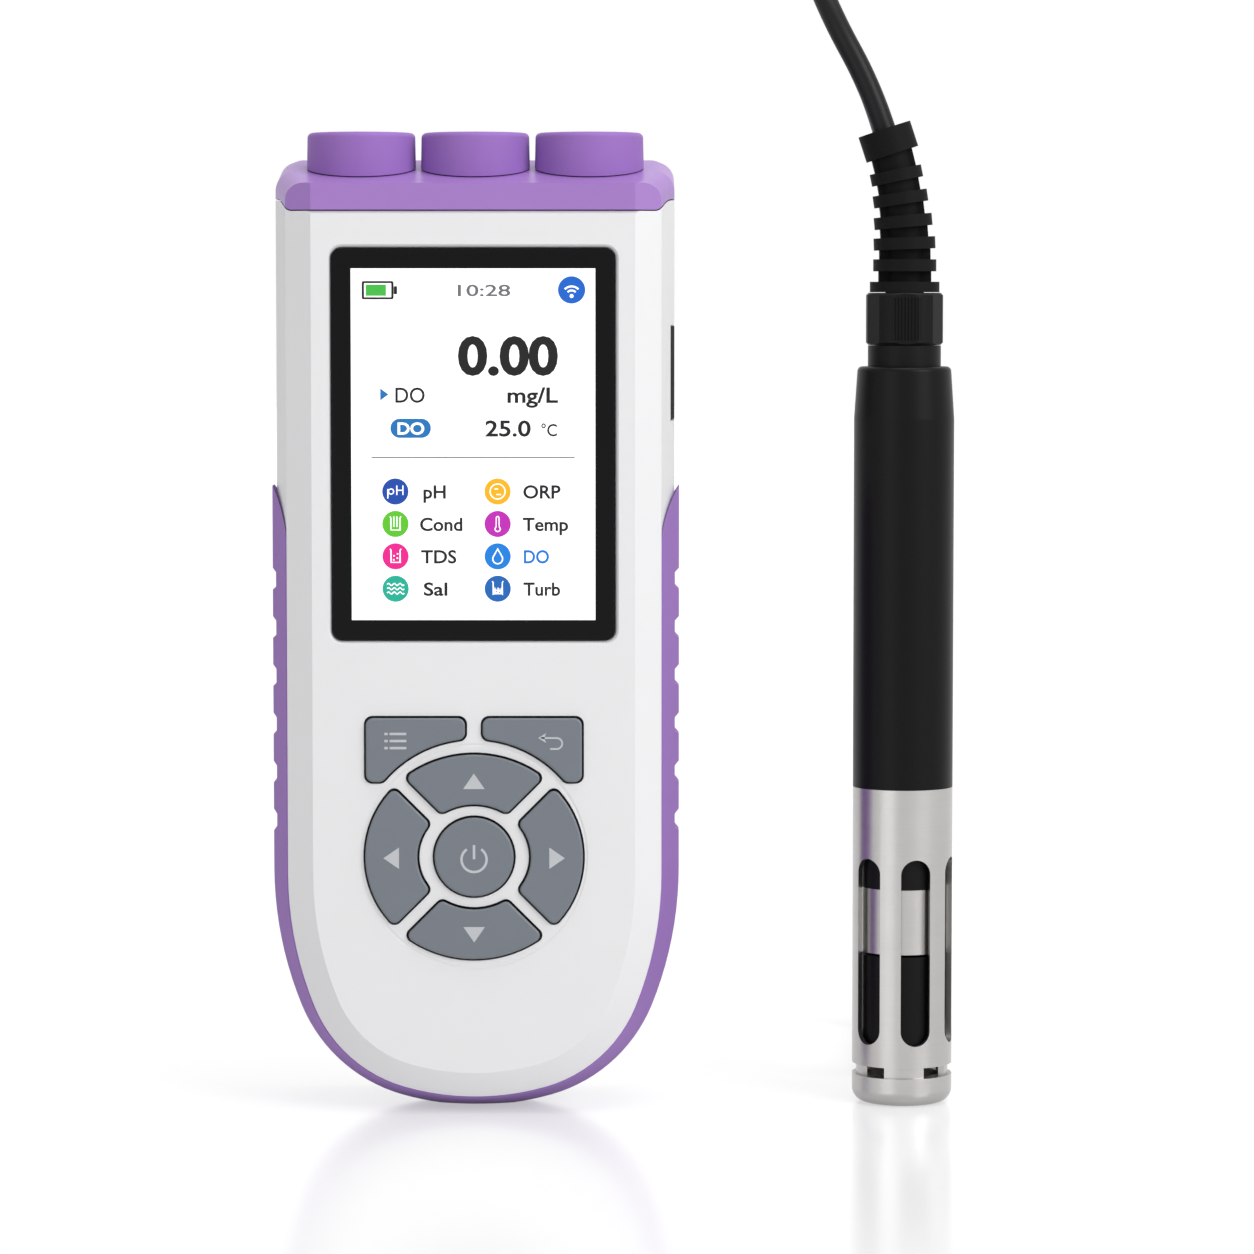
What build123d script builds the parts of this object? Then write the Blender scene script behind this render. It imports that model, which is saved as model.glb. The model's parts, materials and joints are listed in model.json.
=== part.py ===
"""Dissolved oxygen meter: a hand-held meter in a rubber grip and its probe on a lead.

Millimetres, +Z up, the keys face -Y. The origin is on the floor, under the middle of the meter and probe.
The meter's own sizes are written about its middle line, x = 0, and its planes move them to METER_X.
"""

from build123d import *
from math import asin, cos, degrees, radians, sin, sqrt, tan
import os

# Case outline, seen from the front
CASE_HALF_WIDTH = 40.95
TOE_RADIUS = 55.0
FLANK_RADIUS = 75.0
TOE_TURN = 16.0
FLANK_START = 68.0
FOOT_SAG = 0.5
CASE_CREST = 191.2

# Case depths
FRONT_Y = -17.6
BACK_Y = 18.5
PARTING_Y = 8.0
FRONT_WALL = 2.0
BACK_WALL = 2.0
SIDE_WALL = 2.0
SHELL_INSET = 0.95
SIDE_DRAFT_IN = 3.43
SIDE_DRAFT_DEEP = 14.6
BEVEL_IN = 4.47
BEVEL_ALONG = 3.18
BACK_DRAFT_IN = 3.2
BACK_DRAFT_DEEP = 13.0
BACK_ROUND = 4.0
CAVITY_BEVEL_IN = 4.5
CAVITY_BEVEL_DEEP = 2.7

# Rubber grip
GRIP_DEPTH = 3.95
GRIP_HALF_LENGTH_Y = 14.2
GRIP_DRAFT_IN = 3.35
GRIP_DRAFT_DEEP = 11.2
GRIP_TIP_START = 111.6
GRIP_TIP_RADIUS = 26.0
GRIP_TIP_TURN = 34.0
NOTCH_COUNT = 6
NOTCH_PITCH = 9.76
NOTCH_FIRST_Z = 57.8
NOTCH_DEPTH = 0.85
NOTCH_MOUTH = 4.4
NOTCH_FLOOR = 2.9

# Top cover
COVER_Z = 180.5
COVER_STEP_Z = 182.8
COVER_STEP_X = 36.0
COVER_STEP_RUN = 3.6
COVER_GAP = 0.25
COVER_SLOPE = 10.5
COVER_MID_Z = 189.0
COVER_CREST_Y = 10.5
COVER_WALL = 2.1
COVER_RIM = 4.0
COVER_SHOULDER = 4.0
LIP_DROP = 3.0
LIP_WALL = 1.2
LIP_CLEARANCE = 0.15
TOP_SEAL = 0.65
TOP_SEAL_LOW_Z = 178.6
TOP_SEAL_HIGH_Z = 179.8

# Sensor sockets and their caps
SOCKET_PITCH = 22.9
SOCKET_COUNT = 3
SOCKET_RADIUS = 6.0
SOCKET_BORE = 4.4
SOCKET_BORE_DEPTH = 6.5
SOCKET_INSERT = 4.0
SOCKET_EDGE = 0.4
SOCKET_RISE = 8.0
SOCKET_TAIL = 13.0
SOCKET_FLANGE_RADIUS = 8.0
SOCKET_FLANGE = 1.2
SOCKET_SEAL = 0.8
SOCKET_NUT = 2.8
SOCKET_NUT_FLATS = 16.0
WELL_Z = 185.5
WELL_RADIUS = 9.2
WELL_FLOOR = 3.3
BOSS_RADIUS = 11.0
CONTACT_COUNT = 5
CONTACT_RADIUS = 0.5
CONTACT_CIRCLE = 2.4
CAP_RADIUS = 10.8
CAP_TOP_Z = 196.1
CAP_EDGE = 1.0
CAP_DRAFT = 1.2
CAP_GAP = 0.25
CAP_SKIRT_CLEARANCE = 0.25
CAP_GRIP_CLEARANCE = 0.1

# Display
WINDOW_WIDTH = 56.2
WINDOW_HEIGHT = 77.8
WINDOW_Z = 134.05
WINDOW_CORNER = 2.1
WINDOW_THICKNESS = 1.3
WINDOW_SETBACK = 0.1
WINDOW_GAP = 0.15
WINDOW_CHAMFER = 0.6
WINDOW_LEDGE = 1.5
GASKET_THICKNESS = 0.2
RIM_REACH = 1.2
RIM_Y = -14.4
PANEL_CLEARANCE = 0.3
PANEL_THICKNESS = 2.5
CARRIER_THICKNESS = 1.5

# Keys
KEY_RISE = 0.9
KEY_GAP = 0.4
KEY_EDGE = 0.45
KEY_FLANGE = 0.8
KEY_FLANGE_THICKNESS = 1.0
KEY_SEAT = 0.3
KEY_STEM_RADIUS = 2.2
KEY_STEM_REST = 0.7
PAD_Z = 51.9
PAD_OUTER_X = 21.7
PAD_OUTER_Z = 20.5
PAD_INNER_X = 11.3
PAD_INNER_Z = 10.5
PAD_GAP = 3.0
PAD_CORNER = 1.3
POWER_RADIUS = 7.9
MENU_OUTER_X = 21.5
MENU_INNER_X = 1.75
MENU_TOP_Z = 79.7
MENU_LOW_Z = 66.9
MENU_ARC = 23.6
MENU_CORNER = 1.5
CONTACT_PAD_RADIUS = 3.0
CONTACT_PAD = 0.3

# Boards and what they carry
BOARD_THICKNESS = 1.6
KEYPAD_BOARD_Y = -11.0
KEYPAD_BOARD_HALF_WIDTH = 27.8
KEYPAD_BOARD_LOW_Z = 29.5
KEYPAD_BOARD_HIGH_Z = 84.5
KEYPAD_BOSS_X = 25.3
KEYPAD_BOSS_INSET_Z = 3.0
BOSS_OUTER = 2.3
MAIN_BOARD_Y = -3.2
MAIN_BOARD_HALF_WIDTH = 28.0
MAIN_BOARD_LOW_Z = 30.0
MAIN_BOARD_HIGH_Z = 171.0
MAIN_POST_X = 24.8
MAIN_POST_LOW_Z = 36.0
MAIN_POST_HIGH_Z = 165.0
SMALL_SCREW_RADIUS = 1.0
SMALL_HEAD_RADIUS = 1.9
SMALL_HEAD = 1.4
SMALL_SCREW_BITE = 3.0
BUZZER_RADIUS = 6.0
BUZZER_HEIGHT = 5.0
RADIO_WIDTH = 16.0
RADIO_HEIGHT = 20.0
RADIO_THICKNESS = 2.4
PARTS_X = 14.0
PARTS_Z = 44.0

# Case screws
CASE_SCREW_PLACES = [(22.0, 21.0), (31.6, 90.0), (31.6, 168.0)]
CASE_BOSS_RADIUS = 3.0
CASE_SCREW_RADIUS = 1.1
CASE_HEAD_RADIUS = 2.1
CASE_HEAD = 2.0
CASE_HEAD_WELL = 6.0
CASE_SCREW_BITE = 9.0
SCREW_CLEARANCE = 0.25
SEAL_HALF = 0.5
SEAL_OUTER_INSET = 4.5
SEAL_INNER_INSET = 5.3
SEAL_TOP_Z = 176.0

# Side port and its flap
PORT_Z = 148.1
FLAP_HEIGHT = 18.6
FLAP_WIDTH = 12.2
FLAP_THICKNESS = 1.4
FLAP_GAP = 0.3
POCKET_DEPTH = 1.9
PORT_WIDTH = 9.0
PORT_HEIGHT = 3.2
PORT_LENGTH = 12.0
PORT_SETBACK = 0.6
PORT_MOUTH = 0.4
PORT_MOUTH_DEPTH = 6.0
KNUCKLE_RADIUS = 0.85
PIN_RADIUS = 0.5
PIN_CLEARANCE = 0.06
PIN_ANCHOR = 2.0
FLAP_PLUG_DEPTH = 0.8
FLAP_PLUG_CLEARANCE = 0.5

# Battery, its bay and its door
DOOR_WIDTH = 52.0
DOOR_HEIGHT = 78.0
DOOR_Z = 95.0
DOOR_THICKNESS = 1.5
DOOR_GAP = 0.3
DOOR_CORNER = 3.0
DOOR_LIP_DROP = 1.5
DOOR_SEAL = 0.6
BAY_WIDTH = 48.8
BAY_HEIGHT = 62.0
BAY_FLOOR_Y = 3.6
BAY_WALL = 1.6
BAY_SIDE = 1.5
BATTERY_WIDTH = 44.0
BATTERY_HEIGHT = 57.0
BATTERY_THICKNESS = 11.3
BATTERY_CORNER = 2.0
DOOR_SCREW_INSET = 4.0
DOOR_SCREW_RADIUS = 1.2
DOOR_HEAD_RADIUS = 2.6
DOOR_HEAD = 1.0
DOOR_SCREW_LENGTH = 5.0
DOOR_LIP_CLEARANCE = 0.2
DOOR_SCREW_CLEARANCE = 0.4
DOOR_SEAT = 0.1
DOOR_LEDGE = 4.0

# Places of the two things that stand on the floor
PROBE_SPACING = 86.4
PROBE_RADIUS = 10.1
METER_X = -(PROBE_SPACING + PROBE_RADIUS - CASE_HALF_WIDTH) / 2
PROBE_X = METER_X + PROBE_SPACING

# Guard
GUARD_TOP_Z = 64.3
GUARD_LOW_Z = 8.0
GUARD_WALL = 1.1
GUARD_SLOTS = 6
GUARD_SLOT_WIDTH = 6.1
GUARD_SLOT_LOW_Z = 12.4
GUARD_SLOT_HIGH_Z = 50.2
GUARD_SLOT_TURN = 13.0
FOOT_TOP_Z = 5.8
FOOT_ROUND = 2.8
FOOT_DISH_RADIUS = 7.4
FOOT_DISH_Z = 3.6
GUARD_RING_BORE = 7.9
GUARD_RING = 1.8
GUARD_POSTS = 4
POST_WIDTH = 8.0
POST_OUTER = 9.3

# Sensor head inside the guard
TUBE_LOW_Z = 64.4
SENSOR_RADIUS = 8.3
THREAD_LENGTH = 8.0
SPIGOT_LENGTH = 13.0
RING_LOW_Z = 30.8
RING_HIGH_Z = 43.9
NIPPLE_RADIUS = 6.15
NIPPLE_LOW_Z = 17.0
SENSOR_BORE = 4.95
CAP_LOW_Z = 11.2
CAP_HIGH_Z = 30.3
CAP_FLOOR = 4.8
WINDOW_DISC_RADIUS = 5.4
WINDOW_DISC = 1.1
O_RING_HEIGHT = 1.4
O_RING_DEPTH = 0.8
OPTICS_LENGTH = 20.0
OPTICS_LOW_Z = 17.2
LIGHT_PATH = 4.2
FIT_GAP = 0.05
PROBE_BOARD_WIDTH = 9.6
PROBE_BOARD_LENGTH = 56.0

# Probe tube and head
TUBE_HIGH_Z = 138.8
TUBE_BORE = 8.6
HEAD_TOP_Z = 149.3
HEAD_TOP_RADIUS = 9.4
HEAD_ROUND = 1.0
HEAD_SPIGOT = 8.0
HEAD_BORE = 3.4

# Cable gland
NECK_RADIUS = 7.35
NECK_TOP_Z = 153.5
GLAND_THREAD = 5.0
GLAND_THREAD_LENGTH = 7.0
NUT_THREAD = 5.4
NUT_TOP_Z = 164.1
NUT_RADIUS = 7.75
NUT_FLATS = 14.9
NUT_EDGE = 0.5
NUT_RUN_GAP = 0.1
NUT_THREAD_LENGTH = 7.5
KNURL_COUNT = 12
KNURL_PITCH = 0.66
KNURL_DEPTH = 0.3
KNURL_WIDTH = 0.33
GLAND_CUP = 4.4
GLAND_CUP_DEPTH = 5.0
GLAND_SEAL = 2.0
GLAND_BORE = 2.5
NUT_ROOF = 2.8
RELIEF_ROOT = 3.9

# Strain relief
RELIEF_COLLAR_TOP_Z = 166.3
RELIEF_COLLAR_RADIUS = 7.0
RELIEF_CORE = 3.65
RELIEF_BEND_Z = 170.6
RELIEF_BEND_RADIUS = 84.0
RELIEF_TOP_Z = 196.9
RIB_PLACES = [(169.6, 6.35), (174.0, 6.2), (178.4, 5.85), (183.0, 5.5), (187.6, 5.25)]
RIB_THICKNESS = 2.4
WEB_INSET = 1.1
WEB_THICKNESS = 3.4
TOP_COLLAR_RADIUS = 5.45
TOP_COLLAR_THICKNESS = 5.3

# Cord
CORD_DIAMETER = 4.6
CORD_RADIUS = CORD_DIAMETER / 2
ARC_SHARE = 0.45

# Hank that lies behind the probe, in line with the view past it
HANK_TURN = 3.33
HANK_START = 19.0
HANK_RUN = 69.0
FOLD_RADIUS = 13.8
HANK_WIDTH = 18.0
LANE = 6.7
LANE_CUT = 4.9
TIE_START = 94.0
TIE_WIDTH = 8.0
TIE_THICKNESS = 0.9
TIE_SINK = 1.0
CORD_JOIN = 38.0
LANE_FLOOR_Z = 27.3
TAIL_JOIN = 103.0
TAIL_LANE = 3.2
TAIL_RISE = 86.0
TAIL_LEVEL = 70.0
TAIL_SWEEP = 0.2
TAIL_FLOOR_Z = 26.4
TAIL_V = 5.6
TAIL_Z = 28.8

# Plug
PLUG_AXIS_Z = 39.7
PLUG_AXIS_V = 1.0
PLUG_REAR = 53.0
BOOT_LENGTH = 11.0
BOOT_SMALL = 3.2
BOOT_LARGE = 5.4
PLUG_BODY_RADIUS = 5.8
PLUG_BODY_LENGTH = 11.0
PLUG_NECK_RADIUS = 5.0
PLUG_SHOULDER_RADIUS = 5.8
PLUG_SHOULDER = 1.2
PLUG_RING_RADIUS = 7.2
PLUG_RING_LENGTH = 14.0
PLUG_RING_WALL = 1.1
PLUG_RING_BACK = 1.6
PLUG_NOSE_RADIUS = 4.3
PLUG_NOSE_LENGTH = 10.0
PLUG_PIN_LENGTH = 3.0
PLUG_GRIPS = 18
PLUG_GRIP_GROOVE = 0.4
PLUG_RING_GAP = 0.1

# Values that follow from those above
CORNER_RADIUS = (
    CASE_HALF_WIDTH - TOE_RADIUS * sin(radians(TOE_TURN)) - FLANK_RADIUS * (1 - sin(radians(FLANK_START)))
) / (sin(radians(FLANK_START)) - sin(radians(TOE_TURN)))
SHELL_HALF_WIDTH = CASE_HALF_WIDTH - SHELL_INSET
CAVITY_INSET = GRIP_DEPTH + SIDE_WALL
INNER_FRONT_Y = FRONT_Y + FRONT_WALL
INNER_BACK_Y = BACK_Y - BACK_WALL
BLOCK_TOP = CASE_CREST + 20
SOCKET_PLACES = [(k - (SOCKET_COUNT - 1) / 2) * SOCKET_PITCH for k in range(SOCKET_COUNT)]
SOCKET_TOP_Z = WELL_Z + SOCKET_RISE
FLANGE_Z = WELL_Z + SOCKET_SEAL
ROOF_Z = WELL_Z - WELL_FLOOR
GLASS_Y = FRONT_Y + WINDOW_SETBACK
GLASS_BACK_Y = GLASS_Y + WINDOW_THICKNESS
LEDGE_Y = GLASS_BACK_Y + GASKET_THICKNESS
OPENING_WIDTH = WINDOW_WIDTH - 2 * WINDOW_LEDGE
OPENING_HEIGHT = WINDOW_HEIGHT - 2 * WINDOW_LEDGE
PANEL_Y = GLASS_BACK_Y + 0.1
PANEL_BACK_Y = PANEL_Y + PANEL_THICKNESS
KEY_FACE_Y = FRONT_Y - KEY_RISE
FLANGE_Y = INNER_FRONT_Y + KEY_SEAT
KEYPAD_BACK_Y = KEYPAD_BOARD_Y + BOARD_THICKNESS
MAIN_BACK_Y = MAIN_BOARD_Y + BOARD_THICKNESS
POCKET_X = SHELL_HALF_WIDTH - POCKET_DEPTH
DOOR_Y = BACK_Y - DOOR_THICKNESS
BAY_OUTER_WIDTH = DOOR_WIDTH + 2 * (DOOR_GAP + BAY_SIDE)
BAY_OUTER_HEIGHT = DOOR_HEIGHT + 2 * (DOOR_GAP + BAY_SIDE)
DOOR_SCREW_Z = [DOOR_Z - DOOR_HEIGHT / 2 + DOOR_SCREW_INSET, DOOR_Z + DOOR_HEIGHT / 2 - DOOR_SCREW_INSET]
GUARD_BORE = PROBE_RADIUS - GUARD_WALL
CORD_EXIT_TURN = degrees(asin((RELIEF_TOP_Z - RELIEF_BEND_Z) / RELIEF_BEND_RADIUS))
HANK_NEAR = HANK_START + FOLD_RADIUS + CORD_RADIUS
HANK_FAR = HANK_NEAR + HANK_RUN
HANK_MID_Z = FOLD_RADIUS + CORD_RADIUS
HANK_TOP_Z = 2 * HANK_MID_Z
TOP_RUN_Z = HANK_TOP_Z - CORD_RADIUS


def face_plane(y):
    """Plane across the meter at depth y: sketch x is the meter's x and sketch y is height."""
    return Plane(origin=(METER_X, y, 0), x_dir=(1, 0, 0), z_dir=(0, -1, 0))


def level(z):
    """Horizontal plane at height z, about the meter's middle line."""
    return Plane(origin=(METER_X, 0, z), x_dir=(1, 0, 0), z_dir=(0, 0, 1))


def side_plane(x):
    """Plane at the meter's own x: sketch x is depth and sketch y is height."""
    return Plane(origin=(METER_X + x, 0, 0), x_dir=(0, 1, 0), z_dir=(1, 0, 0))


def probe_level(z):
    """Horizontal plane at height z, about the probe's axis."""
    return Plane(origin=(PROBE_X, 0, z), x_dir=(1, 0, 0), z_dir=(0, 0, 1))


def outline(inset, top):
    """Case outline from the front, drawn in by inset: three tangent arcs a side, then straight up."""
    with BuildSketch() as shape:
        with BuildLine():
            toe = JernArc((0, inset - FOOT_SAG), (1, 0), TOE_RADIUS - inset, TOE_TURN)
            corner = JernArc(toe @ 1, toe % 1, CORNER_RADIUS - inset, FLANK_START - TOE_TURN)
            flank = JernArc(corner @ 1, corner % 1, FLANK_RADIUS - inset, 90 - FLANK_START)
            side = Line(flank @ 1, (CASE_HALF_WIDTH - inset, top))
            Line(side @ 1, (0, top))
            mirror(about=Plane.YZ)
        make_face()
    return shape.sketch


def outline_block(inset, front, back, top):
    """The outline run from the front depth to the back depth, with square edges."""
    with BuildPart() as block:
        with BuildSketch(face_plane(front)):
            add(outline(inset, top))
        extrude(amount=front - back)
    return block.part


def around(block, side):
    """The end face on one side, front or back, and its edges all round but for the top one."""
    face = block.faces().sort_by(Axis.Y)[0 if side == "front" else -1]
    return face, face.edges().sort_by(Axis.Z)[:-1]


def case_block():
    """The case as one solid: drafted sides, a flat bevel round the front and a round back edge."""
    with BuildPart() as block:
        add(outline_block(SHELL_INSET, FRONT_Y, BACK_Y, BLOCK_TOP))
        face, edges = around(block, "front")
        chamfer(edges, length=SIDE_DRAFT_IN, length2=SIDE_DRAFT_DEEP, reference=face)
        face, edges = around(block, "front")
        chamfer(edges, length=BEVEL_IN, length2=BEVEL_ALONG, reference=face)
        face, edges = around(block, "back")
        chamfer(edges, length=BACK_DRAFT_IN, length2=BACK_DRAFT_DEEP - PARTING_Y / 2, reference=face)
        face, edges = around(block, "back")
        fillet(edges, BACK_ROUND)
    return block.part


def cavity_block(inset, top, draw_in=0):
    """Room inside the shells, drawn in by inset, with a bevel that keeps their front wall even."""
    with BuildPart() as block:
        add(outline_block(inset, INNER_FRONT_Y + draw_in, INNER_BACK_Y - draw_in, top))
        for side in ("front", "back"):
            face, edges = around(block, side)
            chamfer(edges, length=CAVITY_BEVEL_IN, length2=CAVITY_BEVEL_DEEP, reference=face)
    return block.part


def grip_core():
    """What the grip closes round: the outline drawn in by the grip's depth, flaring out at its tips."""
    with BuildPart() as block:
        with BuildSketch(face_plane(-GRIP_HALF_LENGTH_Y)):
            add(outline(GRIP_DEPTH, GRIP_TIP_START))
            with BuildLine():
                low = Line((0, GRIP_TIP_START), (CASE_HALF_WIDTH - GRIP_DEPTH, GRIP_TIP_START))
                flare = JernArc(low @ 1, (0, 1), GRIP_TIP_RADIUS, -GRIP_TIP_TURN)
                side = Line(flare @ 1, ((flare @ 1).X, BLOCK_TOP))
                Line(side @ 1, (0, BLOCK_TOP))
                mirror(about=Plane.YZ)
            make_face()
        extrude(amount=-2 * GRIP_HALF_LENGTH_Y)
    return block.part


def grip_block():
    """The grip's outer shape before its notches, with drafted sides like the case's."""
    with BuildPart() as block:
        add(outline_block(0, -GRIP_HALF_LENGTH_Y, GRIP_HALF_LENGTH_Y, GRIP_TIP_START + 20))
        for side in ("front", "back"):
            face, edges = around(block, side)
            chamfer(edges, length=GRIP_DRAFT_IN, length2=GRIP_DRAFT_DEEP, reference=face)
        split(bisect_by=level(0), keep=Keep.TOP)
    return block.part


def above_parting(lift):
    """All that is above the line where the top cover meets the shells, moved up by lift."""
    with BuildPart() as block:
        with BuildSketch(face_plane(FRONT_Y - 5)):
            with BuildLine():
                flat = Line((0, COVER_Z + lift), (COVER_STEP_X, COVER_Z + lift))
                step = Bezier(
                    flat @ 1,
                    (COVER_STEP_X + COVER_STEP_RUN * 0.5, COVER_Z + lift),
                    (COVER_STEP_X + COVER_STEP_RUN * 0.5, COVER_STEP_Z + lift),
                    (COVER_STEP_X + COVER_STEP_RUN, COVER_STEP_Z + lift),
                )
                out = Line(step @ 1, (CASE_HALF_WIDTH + 5, COVER_STEP_Z + lift))
                up = Line(out @ 1, (CASE_HALF_WIDTH + 5, BLOCK_TOP + 5))
                Line(up @ 1, (0, BLOCK_TOP + 5))
                mirror(about=Plane.YZ)
            make_face()
        extrude(amount=-(BACK_Y - FRONT_Y + 10))
    return block.part


def below_slope(drop):
    """All that is below the top cover's sloping roof, moved down by drop, back to its crest."""
    rise = tan(radians(COVER_SLOPE))
    crest = COVER_MID_Z + rise * COVER_CREST_Y
    reach = CASE_HALF_WIDTH + 5
    with BuildPart() as block:
        with BuildSketch(side_plane(-reach)):
            with BuildLine():
                Polyline(
                    (FRONT_Y - 5, 0),
                    (FRONT_Y - 5, COVER_MID_Z + rise * (FRONT_Y - 5) - drop),
                    (COVER_CREST_Y, crest - drop),
                    (BACK_Y + 5, crest - drop - rise * (BACK_Y + 5 - COVER_CREST_Y)),
                    (BACK_Y + 5, 0),
                    close=True,
                )
            make_face()
        extrude(amount=2 * reach)
    return block.part


def slab(low, high):
    """All that is between two heights."""
    with BuildPart() as block:
        with BuildSketch(level(low)):
            Rectangle(3 * CASE_HALF_WIDTH, 3 * BACK_Y)
        extrude(amount=high - low)
    return block.part


def drum(low, high, radius, bore=0):
    """Round solid about the probe's axis between two heights, with a bore where one is given."""
    with BuildPart() as block:
        with BuildSketch(probe_level(low)):
            Circle(radius)
            if bore:
                Circle(bore, mode=Mode.SUBTRACT)
        extrude(amount=high - low)
    return block.part


def behind(u, v, z):
    """Point in the hank's own frame: u along the view past the probe, v across it, z the height."""
    turn = radians(HANK_TURN)
    return PROBE_X + u * sin(turn) + v * cos(turn), u * cos(turn) - v * sin(turn), z


def hank_plane(v):
    """Upright plane along the hank at v: sketch x is u and sketch y is height."""
    turn = radians(HANK_TURN)
    return Plane(origin=behind(0, v, 0), x_dir=(sin(turn), cos(turn), 0), z_dir=(cos(turn), -sin(turn), 0))


def plug_plane(u):
    """Plane across the plug at u, facing the plug's nose."""
    turn = radians(HANK_TURN)
    origin = behind(u, PLUG_AXIS_V, PLUG_AXIS_Z)
    return Plane(origin=origin, x_dir=(cos(turn), -sin(turn), 0), z_dir=(-sin(turn), -cos(turn), 0))


def cord_radii(name, points):
    """Radius of each bend: as wide as the shorter run beside it allows. Prints them with the length."""
    radii = []
    for before, at, after in zip(points, points[1:], points[2:]):
        arriving = Vector(*at) - Vector(*before)
        leaving = Vector(*after) - Vector(*at)
        turn = radians(arriving.get_angle(leaving))
        radii.append(ARC_SHARE * min(arriving.length, leaving.length) / tan(turn / 2))
    print(name, "bend radii in mm:", [round(radius, 1) for radius in radii])
    return radii


def mirrored(places):
    """Each place and its mirror image across the meter's middle line."""
    return [(side * x, z) for x, z in places for side in (-1, 1)]


def write(piece, name):
    """Labels a finished piece and writes its file."""
    piece.part.label = name
    export_step(piece.part, f"parts/{name}.step")


os.makedirs("parts", exist_ok=True)

CASE = case_block()
CAVITY = cavity_block(CAVITY_INSET, BLOCK_TOP)
GRIP_CORE = grip_core()
GRIP_SPACE = outline_block(-5, -GRIP_HALF_LENGTH_Y, GRIP_HALF_LENGTH_Y, BLOCK_TOP) - GRIP_CORE
COVER_SPACE = above_parting(-COVER_GAP)
FRONT_HALF = outline_block(-10, FRONT_Y - 5, PARTING_Y, BLOCK_TOP)
SEAL_RING = outline_block(SEAL_OUTER_INSET, PARTING_Y - SEAL_HALF, PARTING_Y + SEAL_HALF, SEAL_TOP_Z) - (
    outline_block(SEAL_INNER_INSET, PARTING_Y - SEAL_HALF, PARTING_Y + SEAL_HALF, SEAL_TOP_Z)
)


# Key outlines. Each grows by grow on every side, for its opening and its flange.
def arc_key(turn, grow):
    """One of the four keys round the power key, turned from the top one by turn degrees."""
    upright = turn % 180 == 0
    out_along, out_across = (PAD_OUTER_Z, PAD_OUTER_X) if upright else (PAD_OUTER_X, PAD_OUTER_Z)
    in_along, in_across = (PAD_INNER_Z, PAD_INNER_X) if upright else (PAD_INNER_X, PAD_INNER_Z)
    out_radius = out_across**2 / out_along
    in_radius = in_across**2 / in_along
    apex = (PAD_GAP / 2 - grow) * sqrt(2)
    reach = 2 * PAD_OUTER_X
    with BuildSketch() as shape:
        with Locations((0, out_along - out_radius)):
            Circle(out_radius + grow)
        with Locations((0, in_along - in_radius)):
            Circle(in_radius - grow, mode=Mode.SUBTRACT)
        Polygon((0, apex), (reach, apex + reach), (-reach, apex + reach), align=None, mode=Mode.INTERSECT)
        fillet(shape.vertices(), PAD_CORNER + grow / 2)
    return Pos(0, PAD_Z) * Rot(0, 0, turn) * shape.sketch


def corner_key(side, grow):
    """The menu key, side -1, or the back key, side 1, with a hollow arc round the pad."""
    width = MENU_OUTER_X - MENU_INNER_X + 2 * grow
    height = MENU_TOP_Z - MENU_LOW_Z + 2 * grow
    with BuildSketch() as shape:
        with Locations((side * (MENU_OUTER_X + MENU_INNER_X) / 2, (MENU_TOP_Z + MENU_LOW_Z) / 2)):
            Rectangle(width, height)
        with Locations((0, PAD_Z)):
            Circle(MENU_ARC - grow, mode=Mode.SUBTRACT)
        fillet(shape.vertices(), MENU_CORNER + grow / 2)
    return shape.sketch


def power_key(grow):
    """The round power key in the middle of the pad."""
    with BuildSketch() as shape:
        with Locations((0, PAD_Z)):
            Circle(POWER_RADIUS + grow)
    return shape.sketch


PAD_MIDDLE_X = (PAD_OUTER_X + PAD_INNER_X) / 2
PAD_MIDDLE_Z = (PAD_OUTER_Z + PAD_INNER_Z) / 2
MENU_STEM = ((MENU_OUTER_X + MENU_INNER_X) / 2 + KEY_STEM_RADIUS, MENU_TOP_Z - 2 * KEY_STEM_RADIUS)
KEYS = {
    "key_menu": (lambda grow: corner_key(-1, grow), (-MENU_STEM[0], MENU_STEM[1])),
    "key_back": (lambda grow: corner_key(1, grow), MENU_STEM),
    "key_up": (lambda grow: arc_key(0, grow), (0, PAD_Z + PAD_MIDDLE_Z)),
    "key_left": (lambda grow: arc_key(90, grow), (-PAD_MIDDLE_X, PAD_Z)),
    "key_down": (lambda grow: arc_key(180, grow), (0, PAD_Z - PAD_MIDDLE_Z)),
    "key_right": (lambda grow: arc_key(270, grow), (PAD_MIDDLE_X, PAD_Z)),
    "key_power": (power_key, (0, PAD_Z)),
}
KEY_OPENINGS = [draw(KEY_GAP) for draw, stem in KEYS.values()]
KEYPAD_BOSSES = mirrored([
    (KEYPAD_BOSS_X, KEYPAD_BOARD_LOW_Z + KEYPAD_BOSS_INSET_Z),
    (KEYPAD_BOSS_X, KEYPAD_BOARD_HIGH_Z - KEYPAD_BOSS_INSET_Z),
])
MAIN_POSTS = mirrored([(MAIN_POST_X, MAIN_POST_LOW_Z), (MAIN_POST_X, MAIN_POST_HIGH_Z)])
CASE_SCREWS = mirrored(CASE_SCREW_PLACES)

HINGE_X = POCKET_X + POCKET_DEPTH / 2
HINGE_Y = FLAP_WIDTH / 2 - FLAP_THICKNESS / 2
HINGE_LOW_Z = PORT_Z - FLAP_HEIGHT / 2 - PIN_ANCHOR
HINGE_LENGTH = FLAP_HEIGHT + 2 * PIN_ANCHOR

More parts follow.
